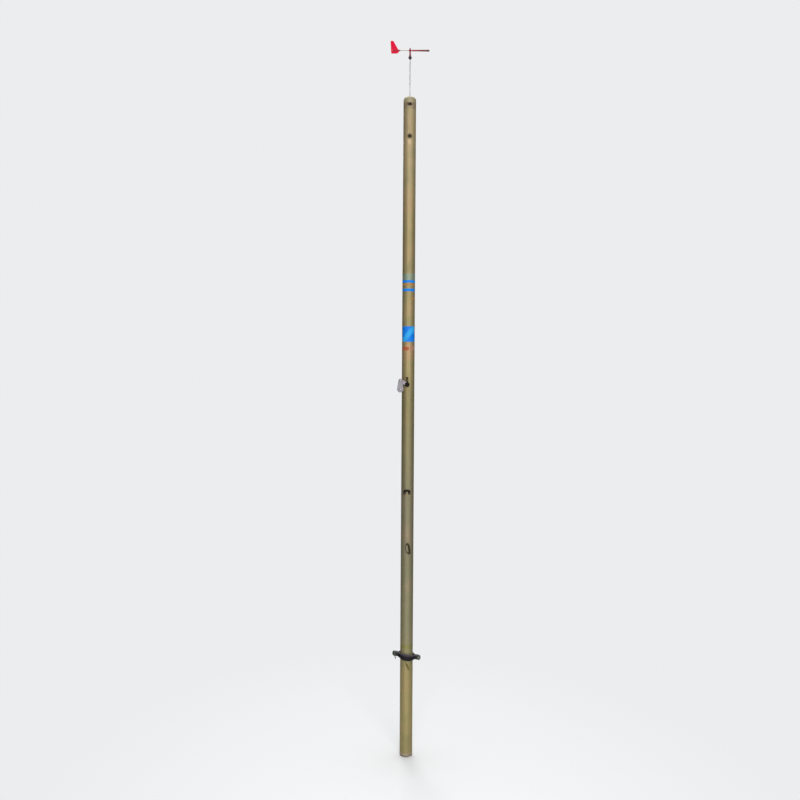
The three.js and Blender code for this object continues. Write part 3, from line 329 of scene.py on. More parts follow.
# The gold along the tube is partly its own tone and partly painted light: painted shade darkens the middle
# stretches, a painted highlight lightens the upper stretch and the head, and the foot is painted lighter
# against the floor's shade.
fade = add_node(tree, "ShaderNodeValToRGB", {"Fac": spread(tree, up, 0, 2.35, 0, 1)})
foot_lit_gold, low_shaded_gold, middle_shaded_gold = (169, 155, 106), (147, 141, 109), (140, 133, 109)
upper_shaded_gold, upper_lit_gold, head_highlight_gold = (143, 134, 94), (166, 150, 107), (190, 171, 131)
stops = fade.color_ramp.elements
stops[0].position, stops[0].color = 0.3 / 2.35, tone(*foot_lit_gold)
stops[1].position, stops[1].color = 2.15 / 2.35, tone(*head_highlight_gold)
for height, gold in ((0.42, low_shaded_gold), (0.85, middle_shaded_gold), (1.25, upper_shaded_gold), (1.38, upper_lit_gold),
                     (1.85, upper_lit_gold)):
    stops.new(height / 2.35).color = tone(*gold)
streaks = noise(tree, stretch(tree, place, (420, 420, 1.5)), 1, 4)
drawn = noise(tree, stretch(tree, place, (2600, 2600, 9)), 1, 2)
clouds = noise(tree, stretch(tree, place, (26, 26, 7)), 1, 5, 0.6)
colour = blend(tree, spread(tree, streaks, 0.42, 0.72, 0, 0.24), fade.outputs["Color"], tone(104, 97, 66))
colour = blend(tree, spread(tree, streaks, 0.5, 0.3, 0, 0.18), colour, tone(206, 192, 156))
colour = blend(tree, spread(tree, clouds, 0.5, 0.75, 0, 0.35), colour, tone(126, 122, 92))
# Weathering drifts along the tube between rosy and greenish. Tape glue is left above the upper band, a
# greenish ring over the clamp, a rosy one round the red band and a darker grey ring at the head. A painted
# shadow slants down from under the clamp, painted shade darkens the tube round both tie holes, and the
# tie lines wear the front under the lower one.
drift = noise(tree, stretch(tree, place, (24, 24, 20)), 1, 2, 0.5)
ragged = noise(tree, stretch(tree, place, (170, 170, 70)), 1, 4, 0.7)
colour = blend(tree, spread(tree, drift, 0.5, 0.72, 0, 0.2), colour, tone(196, 152, 124))
colour = blend(tree, spread(tree, drift, 0.5, 0.28, 0, 0.3), colour, tone(128, 134, 98))
for low, high, tint, strength in ((1.694, 1.714, (128, 174, 172), 0.75), (0.388, 0.395, (140, 136, 44), 0.6),
                                  (1.41, 1.46, (208, 150, 122), 0.3), (2.306, 2.324, (124, 108, 108), 0.4)):
    inside = times(tree, spread(tree, up, low - 0.008, low, 0, 1, True),
                   spread(tree, up, high, high + 0.004, strength, 0, True))
    patchy = spread(tree, plus(tree, ragged, times(tree, drift, 0.6)), 0.6, 0.95, 0.35, 1.1)
    colour = blend(tree, times(tree, inside, patchy), colour, tone(*tint))


def smudge(colour, centre, half, lean, tint, strength):
    # A soft oval mark on the front of the tube, its lower end pushed to the right by the lean.
    side = plus(tree, plus(tree, across, times(tree, up, lean)), -centre[0] - centre[1] * lean)
    rise = times(tree, plus(tree, up, -centre[1]), 1 / half[1])
    side = times(tree, side, 1 / half[0])
    away = add_node(tree, "ShaderNodeMath", {0: plus(tree, times(tree, side, side), times(tree, rise, rise))},
                    operation="SQRT").outputs[0]
    return blend(tree, spread(tree, plus(tree, away, times(tree, ragged, 1.6)), 1.2, 2.1, strength, 0, True),
                 colour, tone(*tint))


front = spread(tree, axis(tree, place, "Y"), -0.008, 0.0, 1, 0, True)
# Painted shadow under the clamp, slanting down to the right.
colour = smudge(colour, (0.002, 0.324), (0.0048, 0.017), 0.42, (92, 80, 30), times(tree, front, 0.8))
# Painted shade round the upper and the lower tie hole.
colour = smudge(colour, (0, 2.3185), (0.012, 0.0065), 0, (56, 34, 26), 0.9)
colour = smudge(colour, (0, 2.204), (0.0095, 0.0095), 0, (58, 44, 20), 0.85)
colour = smudge(colour, (-0.001, 2.185), (0.009, 0.011), 0, (222, 196, 156), times(tree, front, 0.5))
# Short scratches, bright where they go through the anodising.
scratch = noise(tree, stretch(tree, place, (900, 900, 55), (0.25, 0.1, 0)), 1, 2, 0.4)
scratch = times(tree, spread(tree, scratch, 0.66, 0.7, 0, 1), spread(tree, clouds, 0.45, 0.6, 0, 0.5))
colour = blend(tree, scratch, colour, tone(205, 198, 176))
rough = spread(tree, plus(tree, clouds, times(tree, drawn, 0.4)), 0.4, 1.1, 0.58, 0.72)
relief = plus(tree, times(tree, drawn, 0.4), plus(tree, streaks, scratch))
surface(tree, shader, colour, rough, relief, 0.03, 0.6, metal=0.5, gloss=0.2)

# The wall is cut into lengths, with a short one about each drilled hole.
stations = [upper_tie, lower_tie] + [z for x, z in [halyard, pad_rivet] + fairlead_rivets + cleat_screws]
rings = sorted({tube_foot, tube_head, 4 + tube_foot, 300, 600, 1100, 1600, 1900, 2100}
               | {station + step for station in stations for step in (-9, 9) if station + step < tube_head})
wall = [(tube_bore, z) for z in reversed(rings)] + [(tube_outer, z) for z in rings] + [(tube_bore, tube_head)]
tube = turned("spar_tube", wall, tube_sides)
round_edges(tube, 0.35, 2, 60)
carve(tube, hole(tie_hole, (0, upper_tie), -60))
carve(tube, hole(bush_hole, (0, lower_tie), -60))
carve(tube, hole(stud_hole, halyard))
for spot in [pad_rivet] + fairlead_rivets:
    carve(tube, hole(rivet_hole, spot))
for spot in cleat_screws:
    carve(tube, hole(screw_hole, spot))
coat(tube, anodised, 30)
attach(tube, "mast")
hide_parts("mast_tube")


# ------------------------------------------------------------------ lining and foam
# Out of sight in the tube: a drawn aluminium sleeve stiffens the foot where the boat holds it, and two
# bungs of closed-cell foam keep water out, so that the mast floats.
mill, tree, shader, place = new_finish("mill_aluminium")
lines = noise(tree, stretch(tree, place, (900, 900, 5)), 1, 3)
tint = blend(tree, spread(tree, lines, 0.4, 0.65, 0, 0.5), tone(186, 188, 190), tone(150, 152, 155))
surface(tree, shader, tint, spread(tree, lines, 0.3, 0.7, 0.38, 0.56), lines, 0.04, 0.5, metal=0.9)

foam, tree, shader, place = new_finish("closed_cell_foam")
cells = add_node(tree, "ShaderNodeTexVoronoi", {"Vector": place, "Scale": 700}).outputs["Distance"]
tint = blend(tree, spread(tree, cells, 0.2, 0.8, 0, 0.6), tone(232, 226, 208), tone(205, 197, 174))
surface(tree, shader, tint, spread(tree, cells, 0, 1, 0.85, 0.98), cells, 0.3, 0.8)

for node, finish in (("stiffening_sleeve", mill), ("foam_bung_heel", foam), ("foam_bung_top", foam)):
    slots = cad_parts[node].data.materials
    for index in range(len(slots)):
        slots[index] = finish


# ------------------------------------------------------------------ heel and masthead plugs
# Moulded in tan plastic and pressed into the ends of the tube, each with a hollow spigot. The heel is
# rubbed pink and grey by the mast step. The head is domed, and drilled with the tube for the upper tie.
plug_radius = 20.55
plug_skin = 3.2


def moulded(name, colour, marks, shine=(0.42, 0.6), *, mottle, grain=1800, depth=0.03, gloss=0.5):
    # Injection-moulded plastic: a fine grain, a slow drift of colour and a patchy shine. The material comes
    # first in what it gives back, for a piece that needs no more.
    finish, tree, shader, place = new_finish(name)
    slow = noise(tree, place, mottle, 4, 0.6)
    fine = noise(tree, place, grain, 2, 0.5)
    tint = blend(tree, spread(tree, slow, 0.35, 0.7, 0, 0.5), tone(*colour), tone(*marks))
    tint = blend(tree, spread(tree, fine, 0.45, 0.75, 0, 0.25), tint, tone(*marks))
    rough = spread(tree, plus(tree, slow, times(tree, fine, 0.5)), 0.45, 1.05, *shine)
    surface(tree, shader, tint, rough, fine, depth, 0.7, gloss=gloss)
    return finish, tree, shader, place, tint


tan, tree, shader, place, tint = moulded("tan_plastic", (180, 170, 136), (152, 140, 106), mottle=60)
rubbed = plus(tree, axis(tree, place, "Z"), times(tree, noise(tree, place, 130, 4), 0.012))
tint = blend(tree, spread(tree, rubbed, 0.006, 0.022, 0.85, 0, True), tint, tone(150, 128, 112))
# Painted shade darkens the plug inside and round the upper tie hole.
drilled = add_node(tree, "ShaderNodeVectorMath", {0: place, 1: (1, 0, 1)}, operation="MULTIPLY").outputs[0]
drilled = add_node(tree, "ShaderNodeVectorMath", {0: drilled, 1: (0, 0, upper_tie * mm)},
                   operation="DISTANCE").outputs["Value"]
tint = blend(tree, spread(tree, drilled, 0.0055, 0.008, 0.9, 0, True), tint, tone(46, 30, 20))
tree.links.new(tint, shader.inputs["Base Color"])

edge = [(19.5 + 3 * math.sin(math.radians(a)), 3 - 3 * math.cos(math.radians(a))) for a in range(0, 91, 10)]
top = tube_foot + 46
hollow = plug_radius - plug_skin
heel = turned("heel_plug_moulding", [(0, 0.9), (6, 0.9), (7, 0)] + edge + [
    (tube_outer, tube_foot - 0.5), (22.1, tube_foot), (plug_radius, tube_foot), (plug_radius, top - 1.5),
    (plug_radius - 1.5, top), (hollow, top), (hollow, tube_foot), (0, tube_foot)], 96)
coat(heel, tan, 40)
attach(heel, "mast")
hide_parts("heel_plug")

crown_z = 2350
shoulder = [(13.5 + 9 * math.cos(math.radians(a)), 2338 + 9 * math.sin(math.radians(a)))
            for a in range(0, 91, 9)]
dome = [(13.5 * (1 - i / 6), 2347 + 3 * (1 - (1 - i / 6) ** 2)) for i in range(1, 6)]
bottom = tube_head - 52
head = turned("masthead_plug_moulding", [(0, tube_head - 34), (hollow, tube_head - 34), (hollow, bottom),
    (plug_radius - 1.5, bottom), (plug_radius, bottom + 1.5), (plug_radius, upper_tie - 7),
    (plug_radius, tube_head), (22.1, tube_head), (tube_outer, tube_head + 0.5)]
    + shoulder + dome + [(0, crown_z)], 96)
carve(head, hole(tie_hole, (0, upper_tie), -60))
carve(head, turned("drill", rod(4.2, 2329.7, 2360), 48))
coat(head, tan, 40)
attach(head, "mast")
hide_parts("top_plug")


# ------------------------------------------------------------------ sail tie bush
# A plastic tube of 9 mm bore runs through the mast for the lower sail tie. Its ends follow the round of
# the mast, just proud of it.
bush_plastic = moulded("bush_plastic", (92, 74, 44), (60, 46, 24), mottle=300)[0]
bush = turned("tie_bush_tube", ring(4.5, 6.1, -30, 30), 64, FRONT, (0, 0, lower_tie))
carve(bush, turned("ends", rod(23.2, lower_tie - 20, lower_tie + 20), 128), "INTERSECT")
round_edges(bush, 0.3, 3, 50)
coat(bush, bush_plastic, 40)
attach(bush, "mast")
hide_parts("sail_tie_bush")


# ------------------------------------------------------------------ vinyl bands
# Plain self-coloured vinyl wrapped on the tube: two blue bands with a thin orange line between them, a
# blue panel across the front with a painted sheen as a paler slanted bar, and the rest of a red band. It is
# 0.12 mm thick.
def vinyl(name, colour, wear_and_highlight, slant=None):
    finish, tree, shader, place = new_finish(name)
    cloud = noise(tree, stretch(tree, place, (60, 60, 60)), 1, 4, 0.65)
    tint = blend(tree, spread(tree, cloud, 0.42, 0.7, 0, 0.5), tone(*colour), tone(*wear_and_highlight))
    if slant:
        # A painted sheen: a paler bar slanting across the panel.
        sweep = plus(tree, axis(tree, place, "Z"), times(tree, axis(tree, place, "X"), -1.15))
        painted_sheen = times(tree, spread(tree, sweep, 1.482, 1.494, 0, 1, True),
                         spread(tree, sweep, 1.506, 1.520, 0.8, 0, True))
        tint = blend(tree, painted_sheen, tint, tone(*slant))
    # Fine upright scuffs show pale, and dust lies in patches.
    scuffs = noise(tree, stretch(tree, place, (1400, 1400, 110), (0.25, 0.12, 0)), 1, 3, 0.5)
    dust = noise(tree, stretch(tree, place, (220, 220, 160)), 1, 5, 0.7)
    tint = blend(tree, spread(tree, dust, 0.5, 0.75, 0, 0.12), tint, tone(150, 148, 130))
    tint = blend(tree, spread(tree, scuffs, 0.64, 0.7, 0, 0.3), tint, tone(186, 198, 206))
    rough = spread(tree, plus(tree, cloud, times(tree, scuffs, 0.4)), 0.5, 0.95, 0.4, 0.66)
    surface(tree, shader, tint, rough, plus(tree, noise(tree, place, 900, 3), scuffs), 0.02, 0.6, gloss=0.22)
    return finish


vinyl_blue = vinyl("vinyl_blue", (0, 136, 248), (24, 158, 250))
vinyl_panel = vinyl("vinyl_panel", (0, 129, 244), (6, 152, 254), (56, 190, 255))
vinyl_orange = vinyl("vinyl_orange", (204, 132, 62), (184, 146, 96))
vinyl_red = vinyl("vinyl_red", (186, 92, 58), (176, 124, 92))
vinyl_rose = vinyl("vinyl_rose", (186, 132, 110), (172, 150, 120))
sticker_inner = tube_outer + 0.02
sticker_outer = tube_outer + 0.14

for name, low, high, finish in (("band_blue_upper", 1684, 1693, vinyl_blue),
                                ("line_orange", 1675.5, 1680.5, vinyl_orange),
                                ("band_blue_lower", 1653.5, 1663, vinyl_blue)):
    band = turned(name, ring(sticker_inner, sticker_outer, low, high), tube_sides)
    coat(band, finish, 30)
    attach(band, "mast")


def plate(name, outline, low, high, turn=FRONT, at=(0, 0, 0)):
    # Fills an outline and raises it from one height to another.
    piece = draw(name, [(x, y, low) for x, y in list(outline) + [outline[0]]])
    bpy.ops.mesh.edge_face_add()
    bpy.ops.mesh.extrude_region_move(TRANSFORM_OT_translate={"value": (0, 0, (high - low) * mm)})
    bpy.ops.mesh.select_all(action="SELECT")
    bpy.ops.mesh.normals_make_consistent(inside=False)
    bpy.ops.object.mode_set(mode="OBJECT")
    put(piece, turn, at)
    return piece


def arc(x, y, radius, start, end, steps, tall=None):
    # Points of a round or oval arc, in degrees.
    tall = radius if tall is None else tall
    turns = [math.radians(start + (end - start) * i / steps) for i in range(steps + 1)]
    return [(x + radius * math.cos(a), y + tall * math.sin(a)) for a in turns]


def rounded_box(x0, x1, y0, y1, radius):
    steps = 8
    return (arc(x1 - radius, y1 - radius, radius, 0, 90, steps)
            + arc(x0 + radius, y1 - radius, radius, 90, 180, steps)
            + arc(x0 + radius, y0 + radius, radius, 180, 270, steps)
            + arc(x1 - radius, y0 + radius, radius, 270, 360, steps))


for name, box, corner, finish in (("panel_blue", (-21.6, 21.6, 1474, 1529), 5, vinyl_panel),
                                  ("line_red", (-21, 2, 1443, 1456), 4, vinyl_red),
                                  ("line_rose", (5, 20.5, 1445, 1458), 4, vinyl_rose),
                                  ("line_brown", (6, 22.2, 1625, 1630), 2, vinyl_orange)):
    patch = turned(name, ring(sticker_inner, sticker_outer, box[2] - 5, box[3] + 5), tube_sides)
    carve(patch, plate("stencil", rounded_box(*box, corner), 0, 40), "INTERSECT")
    coat(patch, finish, 30)
    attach(patch, "mast")


# ------------------------------------------------------------------ vane spindle
# A thin steel rod stands in a socket in the masthead. Its end is ground to a needle that the vane turns
# on, and a plum-coloured bulb grips the rod under the needle and keeps rain off it.
def steel(name, colour, lines=(60, 60, 60), shine=(0.22, 0.42), metal=1.0):
    # Worked metal: fine lines, denser where their scale is larger, and darker clouds.
    finish, tree, shader, place = new_finish(name)
    brushed = noise(tree, stretch(tree, place, lines), 10, 4, 0.6)
    cloud = noise(tree, place, 60, 3)
    darker = tuple(part * 0.72 for part in colour)
    tint = blend(tree, spread(tree, brushed, 0.4, 0.7, 0, 0.55), tone(*colour), tone(*darker))
    tint = blend(tree, spread(tree, cloud, 0.5, 0.75, 0, 0.4), tint, tone(*darker))
    surface(tree, shader, tint, spread(tree, brushed, 0.3, 0.7, *shine), brushed, 0.012, 0.5, metal)
    return finish


spindle_steel = steel("spindle_steel", (214, 214, 216), (200, 200, 4), (0.25, 0.4), 0.6)
plum = moulded("plum_plastic", (70, 38, 52), (44, 24, 34), mottle=400)[0]
rod_end = 2491
needle_tip = 2511

socket = turned("spindle_socket_turned", [(0, 2330), (3.6, 2330), (4, 2330.4), (4, crown_z - 0.3),
    (3.7, crown_z + 0.3), (3, 2351), (1.9, 2351), (1.7, 2350.8), (1.7, 2332), (0, 2332)], 48)
coat(socket, steel("socket_steel", (176, 176, 178)), 35)
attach(socket, "mast")
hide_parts("spindle_socket")

spindle = turned("spindle_rod", [(0, 2332.3), (1.4, 2332.3), (1.6, 2332.6), (1.6, 2400), (1.6, rod_end - 1),
    (0.85, rod_end - 0.1), (0.8, rod_end + 0.4), (0.8, needle_tip - 2.4), (0.25, needle_tip - 0.4),
    (0, needle_tip)], 32)
coat(spindle, spindle_steel, 35)
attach(spindle, "mast")
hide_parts("vane_spindle")

bulb_low, bulb_tall = 2484.5, 13
bulb_wall = [(6 * math.sin(math.pi * (0.12 + 0.76 * i / 16)) ** 0.8, bulb_low + bulb_tall * i / 16)
             for i in range(17)]
bulb = turned("spindle_bulb", [(1.7, bulb_low)] + bulb_wall + [(1, bulb_low + bulb_tall), (1, rod_end + 0.3),
    (1.7, rod_end + 0.3), (1.7, bulb_low)], 48)
coat(bulb, plum, 50)
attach(bulb, "mast")
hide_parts("spindle_ferrule")


# ------------------------------------------------------------------ wind vane
# A red hub turns on the needle, in a steel cup pressed up into it. A steel arm runs through the hub. Its
# front carries a dark red sleeve and a bronze weight, and its rear the socket that grips the red fin.
arm_z = 2516.5
red = moulded("red_fin_plastic", (255, 0, 58), (226, 0, 60), (0.4, 0.56), mottle=50, gloss=0.2)[0]
hub_red = moulded("red_hub_plastic", (172, 26, 62), (112, 22, 44), (0.4, 0.56), mottle=260, gloss=0.3)[0]
dark_red, tree, shader, place, tint = moulded("dark_red_plastic", (186, 36, 62), (140, 34, 50), (0.45, 0.6),
                                              mottle=120, gloss=0.3)
tint = blend(tree, spread(tree, axis(tree, place, "X"), 0.015, 0.055, 0, 0.85, True), tint, tone(96, 34, 36))
tree.links.new(tint, shader.inputs["Base Color"])
arm_steel = steel("vane_steel", (150, 136, 124), (30, 400, 400), (0.34, 0.5), 0.5)
bronze = steel("bronze", (104, 52, 44), (300, 60, 60), (0.34, 0.5), 0.7)

hub = turned("vane_hub_moulding", [(1.85, 2497.8), (3.3, 2497.8), (3.6, 2498.1), (3.3, 2499.4),
    (2.75, 2501.6), (2.7, 2502.4), (2.7, 2512.6)] + arc(0, arm_z, 4.5, -48, 52, 10)
    + [(2.45, 2521.6), (2.3, 2523.5), (1.9, 2524.9), (1.3, 2525.4), (0, 2525.5), (0, 2512.4),
       (1.85, 2512.4), (1.85, 2497.8)], 48)
carve(hub, turned("drill", rod(1.05, -8, 8), 32, RIGHT, (0, 0, arm_z)))
coat(hub, hub_red, 45)
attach(hub, "vane")
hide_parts("vane_hub")

cup = turned("vane_cup", [(1.1, 2508.3), (1.6, 2508.3), (1.8, 2508.5), (1.8, 2512.1), (1.6, 2512.3),
    (0, 2512.3), (0, 2511.3), (1.0, 2508.6), (1.1, 2508.3)], 32)
coat(cup, arm_steel, 35)
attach(cup, "vane")
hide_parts("vane_bearing_cup")

arm = turned("vane_arm", [(0, -60), (0.8, -60), (1, -59.8), (1, 0), (1, 62.8), (0.8, 63), (0, 63)], 24, RIGHT,
             (0, 0, arm_z))
coat(arm, arm_steel, 40)
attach(arm, "vane")
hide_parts("vane_arm_rod")

sleeve = turned("vane_sleeve", [(1.05, 5.5), (1.7, 5.5), (2.0, 5.8), (2.35, 7.4), (2.5, 8.6), (2.6, 20),
    (2.8, 38), (3, 56.2), (2.95, 57), (2.7, 57.5), (1.05, 57.5), (1.05, 5.5)], 40, RIGHT, (0, 0, arm_z))
coat(sleeve, dark_red, 35)
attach(sleeve, "vane")
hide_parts("vane_nose_sleeve")

weight = turned("vane_weight", [(1.05, 57.8), (3.1, 57.8), (3.4, 58.1), (3.4, 62), (3.25, 62.3), (3.25, 62.7),
    (3.4, 63)] + [(r, x) for x, r in arc(65.9, 0, 3.4, 90, 0, 12)] + [(0, 63.3), (1.05, 63.3), (1.05, 57.8)],
    40, RIGHT, (0, 0, arm_z))
coat(weight, bronze, 35)
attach(weight, "vane")
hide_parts("vane_nose_weight")


def above_arm(points):
    # Points given by their height over the arm.
    return [(x, arm_z + z) for x, z in points]


grip = turned("vane_fin_grip", [(0, -63), (1.7, -63), (2.3, -62.6), (2.6, -61.9), (2.6, -38.4), (2.3, -36.8),
    (1.6, -35), (1.05, -35), (1.05, -60.3), (0, -60.3)], 40, RIGHT, (0, 0, arm_z))
for low, high in ((1.6, 3.6), (-3.6, -1.6)):
    carve(grip, plate("slit", above_arm([(-64, low), (-34, low), (-34, high), (-64, high)]), -0.8, 0.8))
coat(grip, dark_red, 35)
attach(grip, "vane")
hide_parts("vane_fin_socket")


def curve(start, pull, end, steps=8):
    # Points of a curve from start to end, drawn towards a third point. The start is left out.
    points = []
    for i in range(1, steps + 1):
        t = i / steps
        points.append(tuple(a * (1 - t) ** 2 + 2 * b * t * (1 - t) + c * t * t
                            for a, b, c in zip(start, pull, end)))
    return points


blade = above_arm([(-68.5, 34), (-62, 34)] + curve((-62, 34), (-60, 34), (-59, 32)) + [(-40, -1)]
                  + curve((-40, -1), (-39, -3), (-40.5, -5.5), 5)
                  + curve((-40.5, -5.5), (-44, -11), (-51, -11))
                  + [(-64, -11)] + curve((-64, -11), (-67.5, -11), (-67.8, -7)) + [(-70, 32)]
                  + curve((-70, 32), (-70, 34), (-68.5, 34))[:-1])
fin = plate("vane_fin", blade, -0.6, 0.6)
carve(fin, plate("slot", above_arm([(-63.3, -1.8), (0, -1.8), (0, 1.8), (-63.3, 1.8)]), -2, 2))
round_edges(fin, 0.4, 3, 60)
coat(fin, red, 50)
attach(fin, "vane")
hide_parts("vane_tail_fin")


# ------------------------------------------------------------------ halyard eye
# A round black pad with a tab above it is moulded to the curve of the tube. One steel stud with a broad
# black cap and one rivet hold it, and under the cap a steel lug reaches left to carry the block.
black = moulded("black_plastic", (12, 8, 5), (26, 20, 14), (0.5, 0.7), depth=0.05, mottle=140, gloss=0.12)[0]
pad_black, tree, shader, place, tint = moulded("pad_plastic", (16, 11, 7), (32, 25, 16), (0.5, 0.7),
                                               mottle=140, gloss=0.12)
tint = blend(tree, spread(tree, axis(tree, place, "Z"), 1.329, 1.336, 0, 0.8, True), tint, tone(88, 80, 42))
tree.links.new(tint, shader.inputs["Base Color"])
cap_black = moulded("black_cap", (8, 4, 1), (20, 13, 7), (0.5, 0.7), mottle=200, gloss=0.12)[0]
lug_steel = steel("lug_steel", (128, 120, 127), (60, 40, 260), (0.4, 0.56), 0.5)
aged_steel = steel("aged_steel", (66, 52, 36), (60, 60, 60), (0.4, 0.62), 0.5)
pad_face = 28


def link(a, radius_a, b, radius_b):
    # The outline round two circles and the straight lines that touch both.
    steps = 16
    away = math.degrees(math.atan2(b[1] - a[1], b[0] - a[0]))
    lean = math.degrees(math.acos((radius_a - radius_b) / math.dist(a, b)))
    return (arc(a[0], a[1], radius_a, away + lean, away - lean + 360, 2 * steps)
            + arc(b[0], b[1], radius_b, away - lean, away + lean, steps))


def skin(piece, finish, grain, rounds):
    # Turns a sharp solid into the soft-edged skin of a moulding or a casting. Grain is in millimetres.
    apply(piece, "REMESH", mode="VOXEL", voxel_size=grain * mm)
    apply(piece, "SMOOTH", factor=0.5, iterations=rounds)
    only(piece)
    bpy.ops.object.shade_smooth()
    piece.data.materials.append(finish)


def mast_face(low, high):
    # What is cut away behind a fitting for the round of the mast, 0.3 mm clear of it.
    return turned("mast_face", rod(22.8, low, high), 192)


pad = turned("halyard_pad_moulding", rod(8.5, 0, pad_face), 64, FRONT, (halyard[0], 0, halyard[1]))
carve(pad, plate("tab", link(halyard, 4.5, pad_rivet, 4.49), 0, 24.74), "UNION")
carve(pad, mast_face(1290, 1370))
carve(pad, hole(stud_hole, halyard))
carve(pad, hole(rivet_hole, pad_rivet))
skin(pad, pad_black, 0.28, 6)
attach(pad, "mast")
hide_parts("halyard_pad")

lug_eye = (-28, 1336.5)
lug = plate("halyard_lug_plate", link(halyard, 7, lug_eye, 5.2), 28.3, 31.3)
carve(lug, hole(2.3, lug_eye))
carve(lug, hole(stud_hole, halyard))
round_edges(lug, 0.45, 3, 50)
coat(lug, lug_steel, 50)
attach(lug, "mast")
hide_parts("halyard_lug")


def domed(name, finish, place, seat, tail, shank, head, tall, dimple=0.0):
    # A fastener seen from the front, with a domed head on a face at the given height off the axis.
    dome = [(head * math.cos(math.radians(a)), seat + tall * (0.35 + 0.65 * math.sin(math.radians(a))))
            for a in range(0, 90, 9)]
    if dimple:
        dome = [point for point in dome if point[0] > dimple + 0.2]
        rim = dome[-1][1]
        dome += [(dimple + 0.1, rim + 0.05), (dimple, rim - 0.15), (dimple * 0.8, seat + 0.3 * tall),
                 (0, seat + 0.25 * tall)]
    else:
        dome += [(0, seat + tall)]
    profile = [(0, tail), (shank, tail), (shank, seat), (head - 0.1, seat), (head, seat + 0.1)] + dome
    piece = turned(name, profile, 48, FRONT, (place[0], 0, place[1]))
    coat(piece, finish, 45)
    return piece


stud = domed("halyard_stud_cap", cap_black, halyard, 31.45, 16.34, 2.5, 8, 4.2)
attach(stud, "mast")
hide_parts("halyard_stud")

rivet = domed("halyard_tab_rivet", aged_steel, pad_rivet, 24.89, 16.34, 1.9, 3.3, 1.5, 0.7)
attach(rivet, "mast")
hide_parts("halyard_pad_rivet")


# ------------------------------------------------------------------ halyard block
# Two moulded grey cheeks hang from a steel pin through the lug, with a washer on each side of the lug. A
# black sheave turns between them on a steel axle.
grey = moulded("grey_plastic", (168, 164, 170), (132, 127, 136), (0.45, 0.6), mottle=220, gloss=0.3)[0]
pin_steel = steel("pin_steel", (134, 130, 132), (80, 80, 80), (0.3, 0.48), 0.8)
block_x, lug_y, pin_z, axle_z = -28, 29.8, 1336.0, 1305.0
for name, inner, outer, node in (("block_cheek_near", 4, 6.4, "block_cheek_front"),
                                 ("block_cheek_far", -4, -6.4, "block_cheek_rear")):
    near, far = sorted((lug_y + inner, lug_y + outer))
    cheek = plate(name, link((block_x, axle_z), 11.5, (block_x, pin_z), 6.5), near, far)
    carve(cheek, hole(1.6, (block_x, pin_z)))
    carve(cheek, hole(2.6, (block_x, axle_z)))
    round_edges(cheek, 0.45, 3, 40)
    # The outer face is sunk inside a rim, with a boss left standing round each pin.
    sunk = sorted((lug_y + outer * 0.92, lug_y + outer * 1.2))
    panel = plate("panel", link((block_x, axle_z), 9.8, (block_x, pin_z), 4.8), *sunk)
    for boss, z in ((4.9, axle_z), (3.9, pin_z)):
        carve(panel, hole(boss, (block_x, z)))
    carve(cheek, panel)
    round_edges(cheek, 0.14, 2, 60)
    coat(cheek, grey, 45)
    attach(cheek, "block")
    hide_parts(node)

for name, radius, head, z, node in (("block_pin", 1.5, 3.0, pin_z, "block_head_pin"),
                                    ("block_axle_pin", 2.5, 3.8, axle_z, "block_axle")):
    half = [(head - 0.8, 7.8), (head - 0.25, 7.6), (head, 7.2), (head, 6.7), (head - 0.1, 6.6), (radius, 6.6)]
    profile = [(0, 7.8)] + half + [(r, -h) for r, h in reversed(half)] + [(0, -7.8)]
    pin = turned(name, [(r, lug_y + h) for r, h in profile], 40, FRONT, (block_x, 0, z))
    coat(pin, pin_steel, 35)
    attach(pin, "block")
    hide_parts(node)

for name, low, high, node in (("block_washer_far", 26.0, 28.1, "block_washer_rear"),
                              ("block_washer_near", 31.5, 33.6, "block_washer_front")):
    washer = turned(name, ring(1.6, 3.9, low, high), 40, FRONT, (block_x, 0, pin_z))
    round_edges(washer, 0.2, 2, 50)
    coat(washer, pin_steel, 40)
    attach(washer, "block")
    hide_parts(node)

groove = [(6.9 + 2.9 * (i / 8) ** 2, lug_y + 2.7 * i / 8) for i in range(-8, 9)]
flank = [(2.6, 3.5), (5, 3.5), (5.3, 3.2), (8.2, 3.2), (8.5, 3.5), (9.4, 3.5), (9.8, 3.1)]
sheave = turned("block_wheel", [(r, lug_y - h) for r, h in flank] + groove
                + [(r, lug_y + h) for r, h in reversed(flank)] + [(2.6, lug_y - 3.5)], 72, FRONT,
                (block_x, 0, axle_z))
coat(sheave, black, 35)
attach(sheave, "sheave")
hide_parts("block_sheave")


# ------------------------------------------------------------------ saddle fairlead
# A black moulded horseshoe, riveted to the tube by its two feet. Its crown stands clear of the tube, so
# that the control line runs up the mast under it.
fairlead_x, fairlead_z = -2, 941
low_foot, crown = 27.1, 34
horseshoe = ([(-4.5, -8.5)] + arc(0, -2.125, 4.5, 180, 0, 16, 3.6) + [(4.5, -8.5), (10.5, -8.5)]
             + curve((10.5, -8.5), (12.5, -8.5), (12.5, -6.5), 5) + arc(0, 0, 12.5, 0, 180, 32, 8.5)
             + [(-12.5, -6.5)] + curve((-12.5, -6.5), (-12.5, -8.5), (-10.5, -8.5), 5))
from_side = ([(0, -9.5), (low_foot, -9.5), (low_foot, 0)] + curve((low_foot, 0), (27.6, 1.7), (32.5, 2.1))
             + curve((32.5, 2.1), (crown, 2.6), (crown, 3.6))
             + curve((crown, 3.6), (crown, 7.2), (31.8, 8.25))
             + curve((31.8, 8.25), (30.5, 9), (22.5, 9)) + [(0, 9)])
from_above = ([(-12.5, 0), (12.5, 0), (12.5, 26.1)] + curve((12.5, 26.1), (11.5, crown), (5.5, crown), 12)
              + [(-5.5, crown)] + curve((-5.5, crown), (-11.5, crown), (-12.5, 26.1), 12))
centre = (fairlead_x, 0, fairlead_z)
